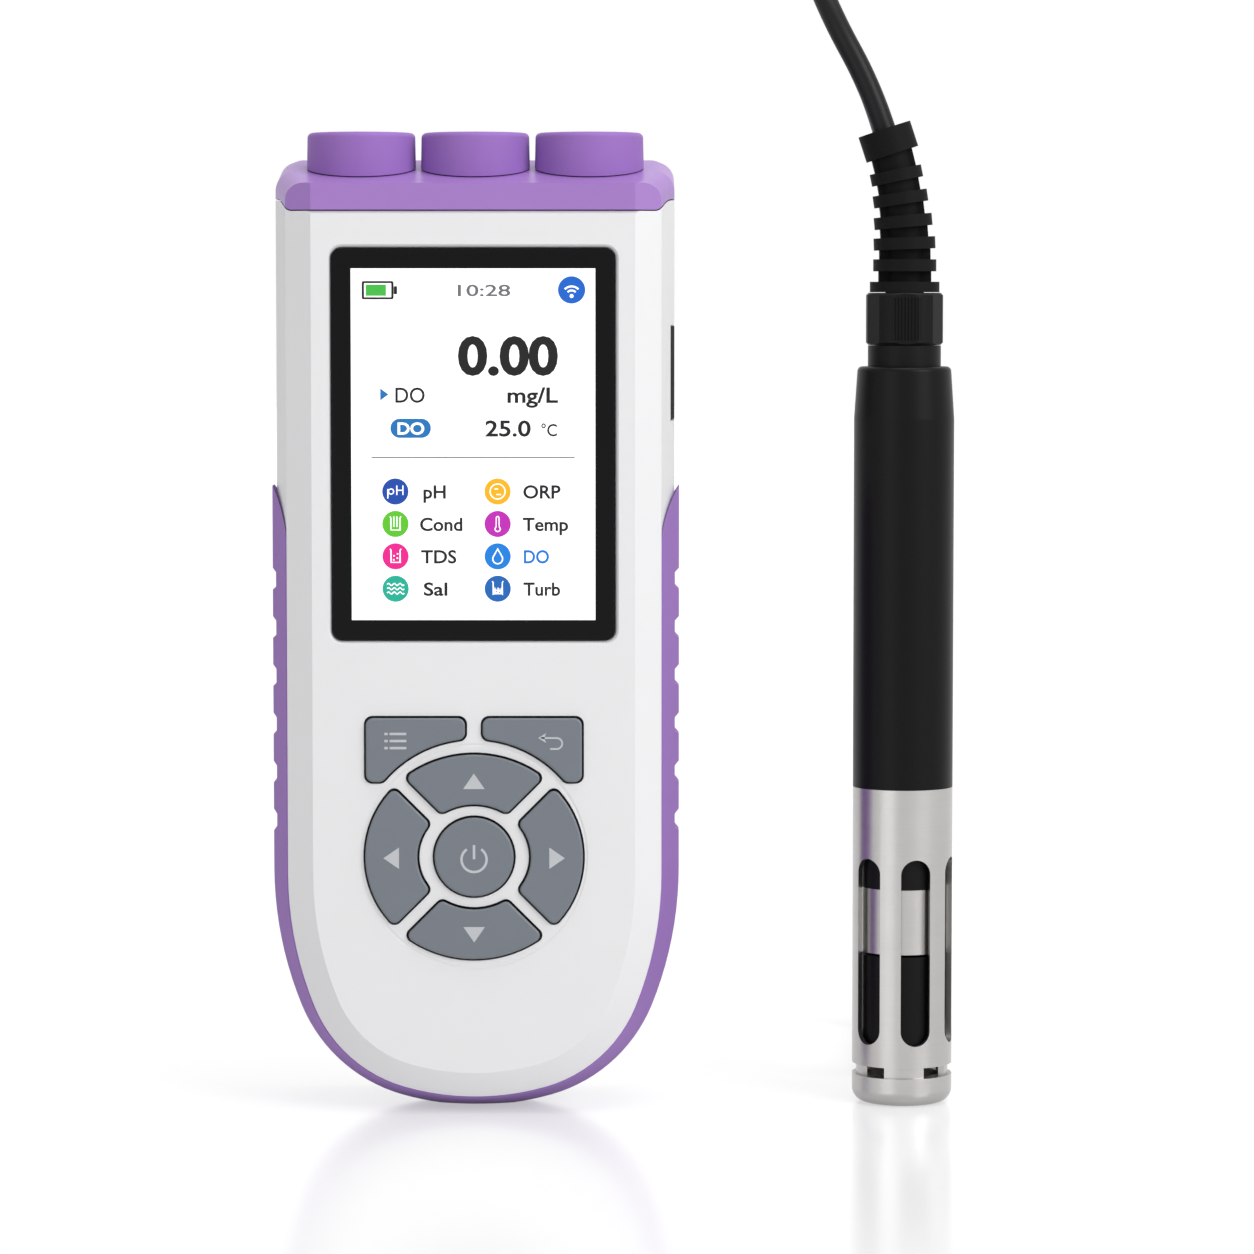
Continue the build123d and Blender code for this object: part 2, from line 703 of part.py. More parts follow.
# Front shell
with BuildPart() as front_shell:
    add(CASE)
    add(CAVITY, mode=Mode.SUBTRACT)
    with BuildSketch(face_plane(INNER_FRONT_Y)):
        with Locations(*CASE_SCREWS):
            Circle(CASE_BOSS_RADIUS)
    extrude(amount=INNER_FRONT_Y - PARTING_Y)
    with BuildSketch(face_plane(INNER_FRONT_Y)):
        with Locations(*KEYPAD_BOSSES):
            Circle(BOSS_OUTER)
    extrude(amount=INNER_FRONT_Y - KEYPAD_BOARD_Y)
    with BuildSketch(face_plane(INNER_FRONT_Y)):
        with Locations((0, WINDOW_Z)):
            Rectangle(WINDOW_WIDTH + 2 * RIM_REACH, WINDOW_HEIGHT + 2 * RIM_REACH)
    extrude(amount=INNER_FRONT_Y - RIM_Y)
    add(FRONT_HALF, mode=Mode.INTERSECT)
    add(GRIP_SPACE, mode=Mode.SUBTRACT)
    add(COVER_SPACE, mode=Mode.SUBTRACT)
    add(SEAL_RING, mode=Mode.SUBTRACT)
    with BuildSketch(face_plane(FRONT_Y)):
        with Locations((0, WINDOW_Z)):
            RectangleRounded(WINDOW_WIDTH + 2 * WINDOW_GAP, WINDOW_HEIGHT + 2 * WINDOW_GAP, WINDOW_CORNER)
    extrude(amount=FRONT_Y - LEDGE_Y, mode=Mode.SUBTRACT)
    window_edges = [
        edge for edge in front_shell.edges().filter_by_position(Axis.Y, FRONT_Y, FRONT_Y)
        if abs(edge.center().Z - WINDOW_Z) < WINDOW_HEIGHT
        and abs(edge.center().X - METER_X) < WINDOW_WIDTH / 2 + RIM_REACH
    ]
    chamfer(window_edges, WINDOW_CHAMFER)
    with BuildSketch(face_plane(FRONT_Y)):
        with Locations((0, WINDOW_Z)):
            Rectangle(OPENING_WIDTH, OPENING_HEIGHT)
        for opening in KEY_OPENINGS:
            add(opening)
    extrude(amount=FRONT_Y - RIM_Y, mode=Mode.SUBTRACT)
    with BuildSketch(face_plane(PARTING_Y)):
        with Locations(*CASE_SCREWS):
            Circle(CASE_SCREW_RADIUS)
    extrude(amount=CASE_SCREW_BITE, mode=Mode.SUBTRACT)
    with BuildSketch(face_plane(KEYPAD_BOARD_Y)):
        with Locations(*KEYPAD_BOSSES):
            Circle(SMALL_SCREW_RADIUS)
    extrude(amount=SMALL_SCREW_BITE, mode=Mode.SUBTRACT)
    with BuildSketch(side_plane(POCKET_X)):
        with Locations((0, PORT_Z)):
            Rectangle(FLAP_WIDTH + 2 * FLAP_GAP, FLAP_HEIGHT + 2 * FLAP_GAP)
    extrude(amount=POCKET_DEPTH, mode=Mode.SUBTRACT)
    with BuildSketch(side_plane(POCKET_X)):
        with Locations((0, PORT_Z)):
            Rectangle(PORT_HEIGHT + 2 * FLAP_PLUG_CLEARANCE, PORT_WIDTH + 2 * FLAP_PLUG_CLEARANCE)
    extrude(amount=-POCKET_DEPTH - SIDE_WALL, mode=Mode.SUBTRACT)
    with BuildSketch(level(HINGE_LOW_Z)):
        with Locations((HINGE_X, HINGE_Y)):
            Circle(PIN_RADIUS)
    extrude(amount=HINGE_LENGTH, mode=Mode.SUBTRACT)
write(front_shell, "front_shell")

# Rear shell, with the battery bay, the posts of the main board and the screw bosses
with BuildPart() as rear_shell:
    add(CASE)
    add(CAVITY, mode=Mode.SUBTRACT)
    add(FRONT_HALF, mode=Mode.SUBTRACT)
    with BuildSketch(face_plane(INNER_BACK_Y)):
        with Locations(*CASE_SCREWS):
            Circle(CASE_BOSS_RADIUS)
    extrude(amount=INNER_BACK_Y - PARTING_Y)
    with BuildSketch(face_plane(INNER_BACK_Y)):
        with Locations(*MAIN_POSTS):
            Circle(BOSS_OUTER)
    extrude(amount=INNER_BACK_Y - MAIN_BACK_Y)
    with BuildSketch(face_plane(INNER_BACK_Y)):
        with Locations((0, DOOR_Z)):
            Rectangle(BAY_WIDTH + 2 * BAY_WALL, BAY_HEIGHT + 2 * BAY_WALL)
    extrude(amount=INNER_BACK_Y - BAY_FLOOR_Y + BAY_WALL)
    with BuildSketch(face_plane(INNER_BACK_Y)):
        with Locations((0, DOOR_Z)):
            Rectangle(BAY_OUTER_WIDTH, BAY_OUTER_HEIGHT)
    extrude(amount=DOOR_LEDGE)
    add(GRIP_SPACE, mode=Mode.SUBTRACT)
    add(COVER_SPACE, mode=Mode.SUBTRACT)
    add(SEAL_RING, mode=Mode.SUBTRACT)
    with BuildSketch(face_plane(BACK_Y)):
        with Locations((0, DOOR_Z)):
            RectangleRounded(DOOR_WIDTH + 2 * DOOR_GAP, DOOR_HEIGHT + 2 * DOOR_GAP, DOOR_CORNER + DOOR_GAP)
    extrude(amount=DOOR_THICKNESS + DOOR_SEAT, mode=Mode.SUBTRACT)
    with BuildSketch(face_plane(BACK_Y)):
        with Locations((0, DOOR_Z)):
            RectangleRounded(BAY_WIDTH, BAY_HEIGHT, BATTERY_CORNER)
    extrude(amount=BACK_Y - BAY_FLOOR_Y, mode=Mode.SUBTRACT)
    with BuildSketch(face_plane(BACK_Y)):
        with Locations(*[(0, z) for z in DOOR_SCREW_Z]):
            Circle(DOOR_SCREW_RADIUS + DOOR_SCREW_CLEARANCE)
    extrude(amount=BACK_WALL + DOOR_LEDGE, mode=Mode.SUBTRACT)
    with BuildSketch(face_plane(BACK_Y)):
        with Locations(*CASE_SCREWS):
            Circle(CASE_HEAD_RADIUS + SCREW_CLEARANCE)
    extrude(amount=CASE_HEAD_WELL, mode=Mode.SUBTRACT)
    with BuildSketch(face_plane(BACK_Y)):
        with Locations(*CASE_SCREWS):
            Circle(CASE_SCREW_RADIUS + SCREW_CLEARANCE)
    extrude(amount=BACK_Y - PARTING_Y, mode=Mode.SUBTRACT)
    with BuildSketch(face_plane(MAIN_BACK_Y)):
        with Locations(*MAIN_POSTS):
            Circle(SMALL_SCREW_RADIUS)
    extrude(amount=-SMALL_SCREW_BITE, mode=Mode.SUBTRACT)
write(rear_shell, "rear_shell")

# Seal between the two shells
with BuildPart() as case_seal:
    add(SEAL_RING)
write(case_seal, "case_seal")

# Rubber grip round the sides and the bottom, with finger notches
with BuildPart() as grip_band:
    add(grip_block())
    add(GRIP_CORE, mode=Mode.SUBTRACT)
    with BuildSketch(face_plane(-GRIP_HALF_LENGTH_Y)):
        for notch in range(NOTCH_COUNT):
            notch_z = NOTCH_FIRST_Z + notch * NOTCH_PITCH
            for side in (-1, 1):
                Polygon(
                    (side * (CASE_HALF_WIDTH - NOTCH_DEPTH), notch_z - NOTCH_FLOOR / 2),
                    (side * (CASE_HALF_WIDTH - NOTCH_DEPTH), notch_z + NOTCH_FLOOR / 2),
                    (side * CASE_HALF_WIDTH, notch_z + NOTCH_MOUTH / 2),
                    (side * CASE_HALF_WIDTH, notch_z - NOTCH_MOUTH / 2),
                    align=None,
                )
    extrude(amount=-2 * GRIP_HALF_LENGTH_Y, mode=Mode.SUBTRACT)
write(grip_band, "grip_band")

# Top cover with its three socket wells and the lip that goes into the shells
LIP_INSET = CAVITY_INSET + LIP_CLEARANCE
SOCKET_SPOTS = [(x, 0) for x in SOCKET_PLACES]
TOP_SEAL_RING = (
    cavity_block(CAVITY_INSET, BLOCK_TOP) - cavity_block(CAVITY_INSET + TOP_SEAL, BLOCK_TOP, TOP_SEAL)
) & slab(TOP_SEAL_LOW_Z, TOP_SEAL_HIGH_Z)
COVER_LIP = cavity_block(LIP_INSET, BLOCK_TOP, LIP_CLEARANCE) & slab(COVER_Z - LIP_DROP, COVER_Z + COVER_RIM)
with BuildPart() as cover_bosses:
    with BuildSketch(level(ROOF_Z)):
        with Locations(*SOCKET_SPOTS):
            Circle(BOSS_RADIUS)
    extrude(amount=CASE_CREST - ROOF_Z)
COVER_ROOM = (
    cavity_block(LIP_INSET + LIP_WALL, BLOCK_TOP, LIP_CLEARANCE + LIP_WALL) & below_slope(COVER_WALL)
) - cover_bosses.part
with BuildPart() as top_cover:
    add(CASE)
    add(above_parting(0), mode=Mode.INTERSECT)
    add(below_slope(0), mode=Mode.INTERSECT)
    roof = top_cover.faces().sort_by(Axis.Z)[-2:]
    shoulder = [edge for edge in roof.edges() if abs(edge.center().X - METER_X) > SHELL_HALF_WIDTH * 0.9]
    fillet(shoulder, COVER_SHOULDER)
    add(COVER_LIP)
    add(TOP_SEAL_RING, mode=Mode.SUBTRACT)
    add(COVER_ROOM, mode=Mode.SUBTRACT)
    with BuildSketch(level(WELL_Z)):
        with Locations(*SOCKET_SPOTS):
            Circle(WELL_RADIUS)
    extrude(amount=CASE_CREST - WELL_Z, mode=Mode.SUBTRACT)
    with BuildSketch(level(ROOF_Z)):
        with Locations(*SOCKET_SPOTS):
            Circle(SOCKET_RADIUS)
    extrude(amount=WELL_FLOOR, mode=Mode.SUBTRACT)
write(top_cover, "top_cover")

# Seal round the lip of the top cover
with BuildPart() as top_seal:
    add(TOP_SEAL_RING)
write(top_seal, "top_seal")

# The three sensor sockets: a tube with a flange, open at the top
with BuildPart() as sensor_sockets:
    with BuildSketch(level(WELL_Z - SOCKET_TAIL)):
        with Locations(*SOCKET_SPOTS):
            Circle(SOCKET_RADIUS)
    extrude(amount=SOCKET_TAIL + SOCKET_RISE)
    socket_tops = sensor_sockets.faces().filter_by_position(Axis.Z, SOCKET_TOP_Z, SOCKET_TOP_Z)
    chamfer(socket_tops.edges(), SOCKET_EDGE)
    with BuildSketch(level(FLANGE_Z)):
        with Locations(*SOCKET_SPOTS):
            Circle(SOCKET_FLANGE_RADIUS)
    extrude(amount=SOCKET_FLANGE)
    with BuildSketch(level(WELL_Z - SOCKET_TAIL)):
        with Locations(*SOCKET_SPOTS):
            Circle(SOCKET_BORE)
    extrude(amount=SOCKET_TAIL + SOCKET_RISE, mode=Mode.SUBTRACT)
write(sensor_sockets, "sensor_sockets")

# Contact blocks in the sockets, each with a ring of contact holes
INSERT_TOP_Z = SOCKET_TOP_Z - SOCKET_BORE_DEPTH
with BuildPart() as socket_inserts:
    with BuildSketch(level(INSERT_TOP_Z - SOCKET_INSERT)):
        with Locations(*SOCKET_SPOTS):
            Circle(SOCKET_BORE)
    extrude(amount=SOCKET_INSERT)
    with BuildSketch(level(INSERT_TOP_Z - SOCKET_INSERT)):
        with Locations(*SOCKET_SPOTS):
            with PolarLocations(CONTACT_CIRCLE, CONTACT_COUNT):
                Circle(CONTACT_RADIUS)
    extrude(amount=SOCKET_INSERT, mode=Mode.SUBTRACT)
write(socket_inserts, "socket_inserts")

# Flat seals under the socket flanges
with BuildPart() as socket_seals:
    with BuildSketch(level(WELL_Z)):
        with Locations(*SOCKET_SPOTS):
            Circle(SOCKET_FLANGE_RADIUS)
            Circle(SOCKET_RADIUS, mode=Mode.SUBTRACT)
    extrude(amount=SOCKET_SEAL)
write(socket_seals, "socket_seals")

# Nuts that draw the sockets down from inside the cover
with BuildPart() as socket_nuts:
    with BuildSketch(level(ROOF_Z - SOCKET_NUT)):
        with Locations(*SOCKET_SPOTS):
            RegularPolygon(SOCKET_NUT_FLATS / 2, 6, major_radius=False)
            Circle(SOCKET_RADIUS, mode=Mode.SUBTRACT)
    extrude(amount=SOCKET_NUT)
write(socket_nuts, "socket_nuts")

# Rubber caps over the sockets; their base follows the slope of the cover
for name, place in zip(("cap_left", "cap_middle", "cap_right"), SOCKET_SPOTS):
    with BuildPart() as cap:
        with BuildSketch(level(WELL_Z)):
            with Locations(place):
                Circle(CAP_RADIUS + (CAP_TOP_Z - WELL_Z) * tan(radians(CAP_DRAFT)))
        extrude(amount=CAP_TOP_Z - WELL_Z, taper=CAP_DRAFT)
        fillet(cap.faces().sort_by(Axis.Z)[-1].edges(), CAP_EDGE)
        add(below_slope(-CAP_GAP), mode=Mode.SUBTRACT)
        with BuildSketch(level(WELL_Z + CAP_SKIRT_CLEARANCE)):
            with Locations(place):
                Circle(WELL_RADIUS - CAP_SKIRT_CLEARANCE)
        extrude(amount=SOCKET_RISE - CAP_SKIRT_CLEARANCE)
        with BuildSketch(level(WELL_Z)):
            with Locations(place):
                Circle(SOCKET_RADIUS + CAP_GRIP_CLEARANCE)
        extrude(amount=SOCKET_RISE + CAP_SKIRT_CLEARANCE, mode=Mode.SUBTRACT)
        with BuildSketch(level(WELL_Z)):
            with Locations(place):
                Circle(SOCKET_FLANGE_RADIUS + CAP_SKIRT_CLEARANCE)
        extrude(amount=SOCKET_SEAL + SOCKET_FLANGE + CAP_SKIRT_CLEARANCE, mode=Mode.SUBTRACT)
    write(cap, name)

# Display window
with BuildPart() as display_window:
    with BuildSketch(face_plane(GLASS_Y)):
        with Locations((0, WINDOW_Z)):
            RectangleRounded(WINDOW_WIDTH, WINDOW_HEIGHT, WINDOW_CORNER)
    extrude(amount=-WINDOW_THICKNESS)
write(display_window, "display_window")

# Gasket between the window and its ledge
with BuildPart() as window_gasket:
    with BuildSketch(face_plane(GLASS_BACK_Y)):
        with Locations((0, WINDOW_Z)):
            RectangleRounded(WINDOW_WIDTH, WINDOW_HEIGHT, WINDOW_CORNER)
            Rectangle(OPENING_WIDTH, OPENING_HEIGHT, mode=Mode.SUBTRACT)
    extrude(amount=-GASKET_THICKNESS)
write(window_gasket, "window_gasket")

# Display panel behind the window
PANEL_WIDTH = OPENING_WIDTH - 2 * PANEL_CLEARANCE
PANEL_HEIGHT = OPENING_HEIGHT - 2 * PANEL_CLEARANCE
with BuildPart() as display_panel:
    with BuildSketch(face_plane(PANEL_Y)):
        with Locations((0, WINDOW_Z)):
            Rectangle(PANEL_WIDTH, PANEL_HEIGHT)
    extrude(amount=-PANEL_THICKNESS)
write(display_panel, "display_panel")

# Tray that holds the panel against the rim of the front shell
with BuildPart() as display_carrier:
    with BuildSketch(face_plane(RIM_Y)):
        with Locations((0, WINDOW_Z)):
            Rectangle(WINDOW_WIDTH + 2 * RIM_REACH, WINDOW_HEIGHT + 2 * RIM_REACH)
        with Locations(*CASE_SCREWS):
            Circle(CASE_BOSS_RADIUS + SCREW_CLEARANCE, mode=Mode.SUBTRACT)
    extrude(amount=RIM_Y - PANEL_BACK_Y - CARRIER_THICKNESS)
    with BuildSketch(face_plane(RIM_Y)):
        with Locations((0, WINDOW_Z)):
            Rectangle(PANEL_WIDTH, PANEL_HEIGHT)
    extrude(amount=RIM_Y - PANEL_BACK_Y, mode=Mode.SUBTRACT)
write(display_carrier, "display_carrier")

# Keys: a face with a soft edge, a flange that keeps it in the shell and a stem for its contact
FLANGE_BACK_Y = FLANGE_Y + KEY_FLANGE_THICKNESS
STEM_TIP_Y = KEYPAD_BOARD_Y - CONTACT_PAD - KEY_STEM_REST
for name, (draw, stem) in KEYS.items():
    with BuildPart() as key:
        with BuildSketch(face_plane(KEY_FACE_Y)):
            add(draw(0))
        extrude(amount=KEY_FACE_Y - FLANGE_Y)
        fillet(key.faces().sort_by(Axis.Y)[0].edges(), KEY_EDGE)
        with BuildSketch(face_plane(FLANGE_Y)):
            add(draw(KEY_FLANGE))
        extrude(amount=-KEY_FLANGE_THICKNESS)
        with BuildSketch(face_plane(FLANGE_BACK_Y)):
            with Locations(stem):
                Circle(KEY_STEM_RADIUS)
        extrude(amount=FLANGE_BACK_Y - STEM_TIP_Y)
    write(key, name)

# Contact pads under the key stems
with BuildPart() as key_contacts:
    with BuildSketch(face_plane(KEYPAD_BOARD_Y)):
        with Locations(*[stem for draw, stem in KEYS.values()]):
            Circle(CONTACT_PAD_RADIUS)
    extrude(amount=CONTACT_PAD)
write(key_contacts, "key_contacts")

# Keypad board
BOARD_ROOM = cavity_block(CAVITY_INSET + TOP_SEAL, BLOCK_TOP)
with BuildPart() as keypad_board:
    with BuildSketch(face_plane(KEYPAD_BOARD_Y)):
        with Locations((0, (KEYPAD_BOARD_HIGH_Z + KEYPAD_BOARD_LOW_Z) / 2)):
            Rectangle(2 * KEYPAD_BOARD_HALF_WIDTH, KEYPAD_BOARD_HIGH_Z - KEYPAD_BOARD_LOW_Z)
        with Locations(*KEYPAD_BOSSES):
            Circle(SMALL_SCREW_RADIUS + SCREW_CLEARANCE, mode=Mode.SUBTRACT)
    extrude(amount=-BOARD_THICKNESS)
    add(BOARD_ROOM, mode=Mode.INTERSECT)
write(keypad_board, "keypad_board")

# Main board
with BuildPart() as main_board:
    with BuildSketch(face_plane(MAIN_BOARD_Y)):
        with Locations((0, (MAIN_BOARD_HIGH_Z + MAIN_BOARD_LOW_Z) / 2)):
            Rectangle(2 * MAIN_BOARD_HALF_WIDTH, MAIN_BOARD_HIGH_Z - MAIN_BOARD_LOW_Z)
        with Locations(*MAIN_POSTS):
            Circle(SMALL_SCREW_RADIUS + SCREW_CLEARANCE, mode=Mode.SUBTRACT)
    extrude(amount=-BOARD_THICKNESS)
    add(BOARD_ROOM, mode=Mode.INTERSECT)
write(main_board, "main_board")

# Small screws: four hold the keypad board from behind, four hold the main board from its front
with BuildPart() as board_screws:
    with BuildSketch(face_plane(KEYPAD_BACK_Y + SMALL_HEAD)):
        with Locations(*KEYPAD_BOSSES):
            Circle(SMALL_HEAD_RADIUS)
    extrude(amount=SMALL_HEAD)
    with BuildSketch(face_plane(KEYPAD_BACK_Y)):
        with Locations(*KEYPAD_BOSSES):
            Circle(SMALL_SCREW_RADIUS)
    extrude(amount=BOARD_THICKNESS + SMALL_SCREW_BITE)
    with BuildSketch(face_plane(MAIN_BOARD_Y)):
        with Locations(*MAIN_POSTS):
            Circle(SMALL_HEAD_RADIUS)
    extrude(amount=SMALL_HEAD)
    with BuildSketch(face_plane(MAIN_BOARD_Y)):
        with Locations(*MAIN_POSTS):
            Circle(SMALL_SCREW_RADIUS)
    extrude(amount=-BOARD_THICKNESS - SMALL_SCREW_BITE)
write(board_screws, "board_screws")

# Radio module on the back of the main board
with BuildPart() as radio_module:
    with BuildSketch(face_plane(MAIN_BACK_Y)):
        with Locations((-PARTS_X, PARTS_Z)):
            Rectangle(RADIO_WIDTH, RADIO_HEIGHT)
    extrude(amount=-RADIO_THICKNESS)
write(radio_module, "radio_module")

# Buzzer beside the radio module
with BuildPart() as buzzer:
    with BuildSketch(face_plane(MAIN_BACK_Y)):
        with Locations((PARTS_X, PARTS_Z)):
            Circle(BUZZER_RADIUS)
    extrude(amount=-BUZZER_HEIGHT)
write(buzzer, "buzzer")

# Data port on the back of the main board, with its mouth behind the side flap
PORT_FACE_X = POCKET_X - PORT_SETBACK
with BuildPart() as data_port:
    with BuildSketch(side_plane(PORT_FACE_X)):
        with Locations((MAIN_BACK_Y + PORT_HEIGHT / 2, PORT_Z)):
            RectangleRounded(PORT_HEIGHT, PORT_WIDTH, PORT_HEIGHT * 0.45)
    extrude(amount=-PORT_LENGTH)
    with BuildSketch(side_plane(PORT_FACE_X)):
        with Locations((MAIN_BACK_Y + PORT_HEIGHT / 2, PORT_Z)):
            RectangleRounded(
                PORT_HEIGHT - 2 * PORT_MOUTH, PORT_WIDTH - 2 * PORT_MOUTH, PORT_HEIGHT * 0.45 - PORT_MOUTH
            )
    extrude(amount=-PORT_MOUTH_DEPTH, mode=Mode.SUBTRACT)
write(data_port, "data_port")

# Screws that join the two shells
CASE_HEAD_Y = BACK_Y - CASE_HEAD_WELL
with BuildPart() as case_screws:
    with BuildSketch(face_plane(CASE_HEAD_Y + CASE_HEAD)):
        with Locations(*CASE_SCREWS):
            Circle(CASE_HEAD_RADIUS)
    extrude(amount=CASE_HEAD)
    with BuildSketch(face_plane(CASE_HEAD_Y)):
        with Locations(*CASE_SCREWS):
            Circle(CASE_SCREW_RADIUS)
    extrude(amount=CASE_HEAD_Y - PARTING_Y + CASE_SCREW_BITE)
write(case_screws, "case_screws")

# Battery
with BuildPart() as battery:
    with BuildSketch(face_plane(BAY_FLOOR_Y)):
        with Locations((0, DOOR_Z)):
            RectangleRounded(BATTERY_WIDTH, BATTERY_HEIGHT, BATTERY_CORNER)
    extrude(amount=-BATTERY_THICKNESS)
write(battery, "battery")

# Battery door with the lip that goes into the bay
LIP_WIDTH = BAY_WIDTH - 2 * (DOOR_LIP_CLEARANCE + DOOR_SEAL)
LIP_HEIGHT = BAY_HEIGHT - 2 * (DOOR_LIP_CLEARANCE + DOOR_SEAL)
DOOR_SPOTS = [(0, z) for z in DOOR_SCREW_Z]
with BuildPart() as battery_door:
    with BuildSketch(face_plane(BACK_Y)):
        with Locations((0, DOOR_Z)):
            RectangleRounded(DOOR_WIDTH, DOOR_HEIGHT, DOOR_CORNER)
    extrude(amount=DOOR_THICKNESS)
    with BuildSketch(face_plane(DOOR_Y)):
        with Locations((0, DOOR_Z)):
            RectangleRounded(LIP_WIDTH, LIP_HEIGHT, BATTERY_CORNER)
            RectangleRounded(
                LIP_WIDTH - 2 * BAY_WALL, LIP_HEIGHT - 2 * BAY_WALL, BATTERY_CORNER / 2, mode=Mode.SUBTRACT
            )
    extrude(amount=DOOR_LIP_DROP)
    with BuildSketch(face_plane(BACK_Y)):
        with Locations(*DOOR_SPOTS):
            Circle(DOOR_HEAD_RADIUS)
    extrude(amount=DOOR_HEAD, mode=Mode.SUBTRACT)
    with BuildSketch(face_plane(BACK_Y)):
        with Locations(*DOOR_SPOTS):
            Circle(DOOR_SCREW_RADIUS)
    extrude(amount=DOOR_THICKNESS, mode=Mode.SUBTRACT)
write(battery_door, "battery_door")

# Seal round the lip of the battery door
with BuildPart() as door_seal:
    with BuildSketch(face_plane(DOOR_Y)):
        with Locations((0, DOOR_Z)):
            RectangleRounded(LIP_WIDTH + 2 * DOOR_SEAL, LIP_HEIGHT + 2 * DOOR_SEAL, BATTERY_CORNER)
            RectangleRounded(LIP_WIDTH, LIP_HEIGHT, BATTERY_CORNER, mode=Mode.SUBTRACT)
    extrude(amount=DOOR_LIP_DROP)
write(door_seal, "door_seal")

# The two screws of the battery door, which stay in the door
with BuildPart() as door_screws:
    with BuildSketch(face_plane(BACK_Y)):
        with Locations(*DOOR_SPOTS):
            Circle(DOOR_HEAD_RADIUS)
            Rectangle(DOOR_HEAD_RADIUS, DOOR_HEAD / 2, mode=Mode.SUBTRACT)
    extrude(amount=DOOR_HEAD / 2)
    with BuildSketch(face_plane(BACK_Y - DOOR_HEAD / 2)):
        with Locations(*DOOR_SPOTS):
            Circle(DOOR_HEAD_RADIUS)
    extrude(amount=DOOR_HEAD / 2)
    with BuildSketch(face_plane(BACK_Y - DOOR_HEAD)):
        with Locations(*DOOR_SPOTS):
            Circle(DOOR_SCREW_RADIUS)
    extrude(amount=DOOR_SCREW_LENGTH)
write(door_screws, "door_screws")

# Flap over the data port: it follows the side of the case and swings on a pin at its back edge
FLAP_INNER_X = SHELL_HALF_WIDTH - FLAP_THICKNESS
FLAP_PLATE = HINGE_Y - PIN_RADIUS + FLAP_WIDTH / 2
with BuildPart() as port_flap:
    with BuildSketch(side_plane(FLAP_INNER_X)):
        with Locations((FLAP_PLATE / 2 - FLAP_WIDTH / 2, PORT_Z)):
            Rectangle(FLAP_PLATE, FLAP_HEIGHT)
    extrude(amount=2 * FLAP_THICKNESS)
    add(CASE, mode=Mode.INTERSECT)
    with BuildSketch(side_plane(FLAP_INNER_X)):
        with Locations((0, PORT_Z)):
            Rectangle(PORT_HEIGHT, PORT_WIDTH)
    extrude(amount=-FLAP_PLUG_DEPTH)
    with BuildSketch(level(PORT_Z - FLAP_HEIGHT / 2)):
        with Locations((HINGE_X, HINGE_Y)):
            Circle(KNUCKLE_RADIUS)
    extrude(amount=FLAP_HEIGHT)
    with BuildSketch(level(PORT_Z - FLAP_HEIGHT / 2)):
        with Locations((HINGE_X, HINGE_Y)):
            Circle(PIN_RADIUS + PIN_CLEARANCE)
    extrude(amount=FLAP_HEIGHT, mode=Mode.SUBTRACT)
write(port_flap, "port_flap")

# Pin that the flap swings on
with BuildPart() as flap_pin:
    with BuildSketch(level(HINGE_LOW_Z)):
        with Locations((HINGE_X, HINGE_Y)):
            Circle(PIN_RADIUS)
    extrude(amount=HINGE_LENGTH)
write(flap_pin, "flap_pin")

# Probe guard: a slotted tube that stands on a round foot with four short posts between
with BuildPart() as guard:
    add(drum(GUARD_LOW_Z, GUARD_TOP_Z, PROBE_RADIUS, GUARD_BORE))
    add(drum(GUARD_LOW_Z, GUARD_LOW_Z + GUARD_RING, PROBE_RADIUS, GUARD_RING_BORE))
    for k in range(GUARD_SLOTS):
        turn = radians(GUARD_SLOT_TURN - 90 + k * 360 / GUARD_SLOTS)
        outward = (cos(turn), sin(turn), 0)
        with BuildSketch(Plane(origin=(PROBE_X, 0, 0), x_dir=(-sin(turn), cos(turn), 0), z_dir=outward)):
            with Locations((0, (GUARD_SLOT_HIGH_Z + GUARD_SLOT_LOW_Z) / 2)):
                SlotOverall(GUARD_SLOT_HIGH_Z - GUARD_SLOT_LOW_Z, GUARD_SLOT_WIDTH, rotation=90)
        extrude(amount=2 * PROBE_RADIUS, mode=Mode.SUBTRACT)
    add(drum(0, FOOT_TOP_Z, PROBE_RADIUS))
    fillet(guard.edges().filter_by_position(Axis.Z, 0, 0), FOOT_ROUND)
    add(drum(FOOT_DISH_Z, FOOT_TOP_Z, FOOT_DISH_RADIUS), mode=Mode.SUBTRACT)
    with BuildSketch(probe_level(FOOT_DISH_Z)):
        with PolarLocations((GUARD_RING_BORE + POST_OUTER) / 2, GUARD_POSTS, start_angle=-90):
            Rectangle(2 * (POST_OUTER - GUARD_RING_BORE), POST_WIDTH)
        Circle(POST_OUTER, mode=Mode.INTERSECT)
        Circle(GUARD_RING_BORE, mode=Mode.SUBTRACT)
    extrude(amount=GUARD_LOW_Z + GUARD_RING - FOOT_DISH_Z)
write(guard, "guard")

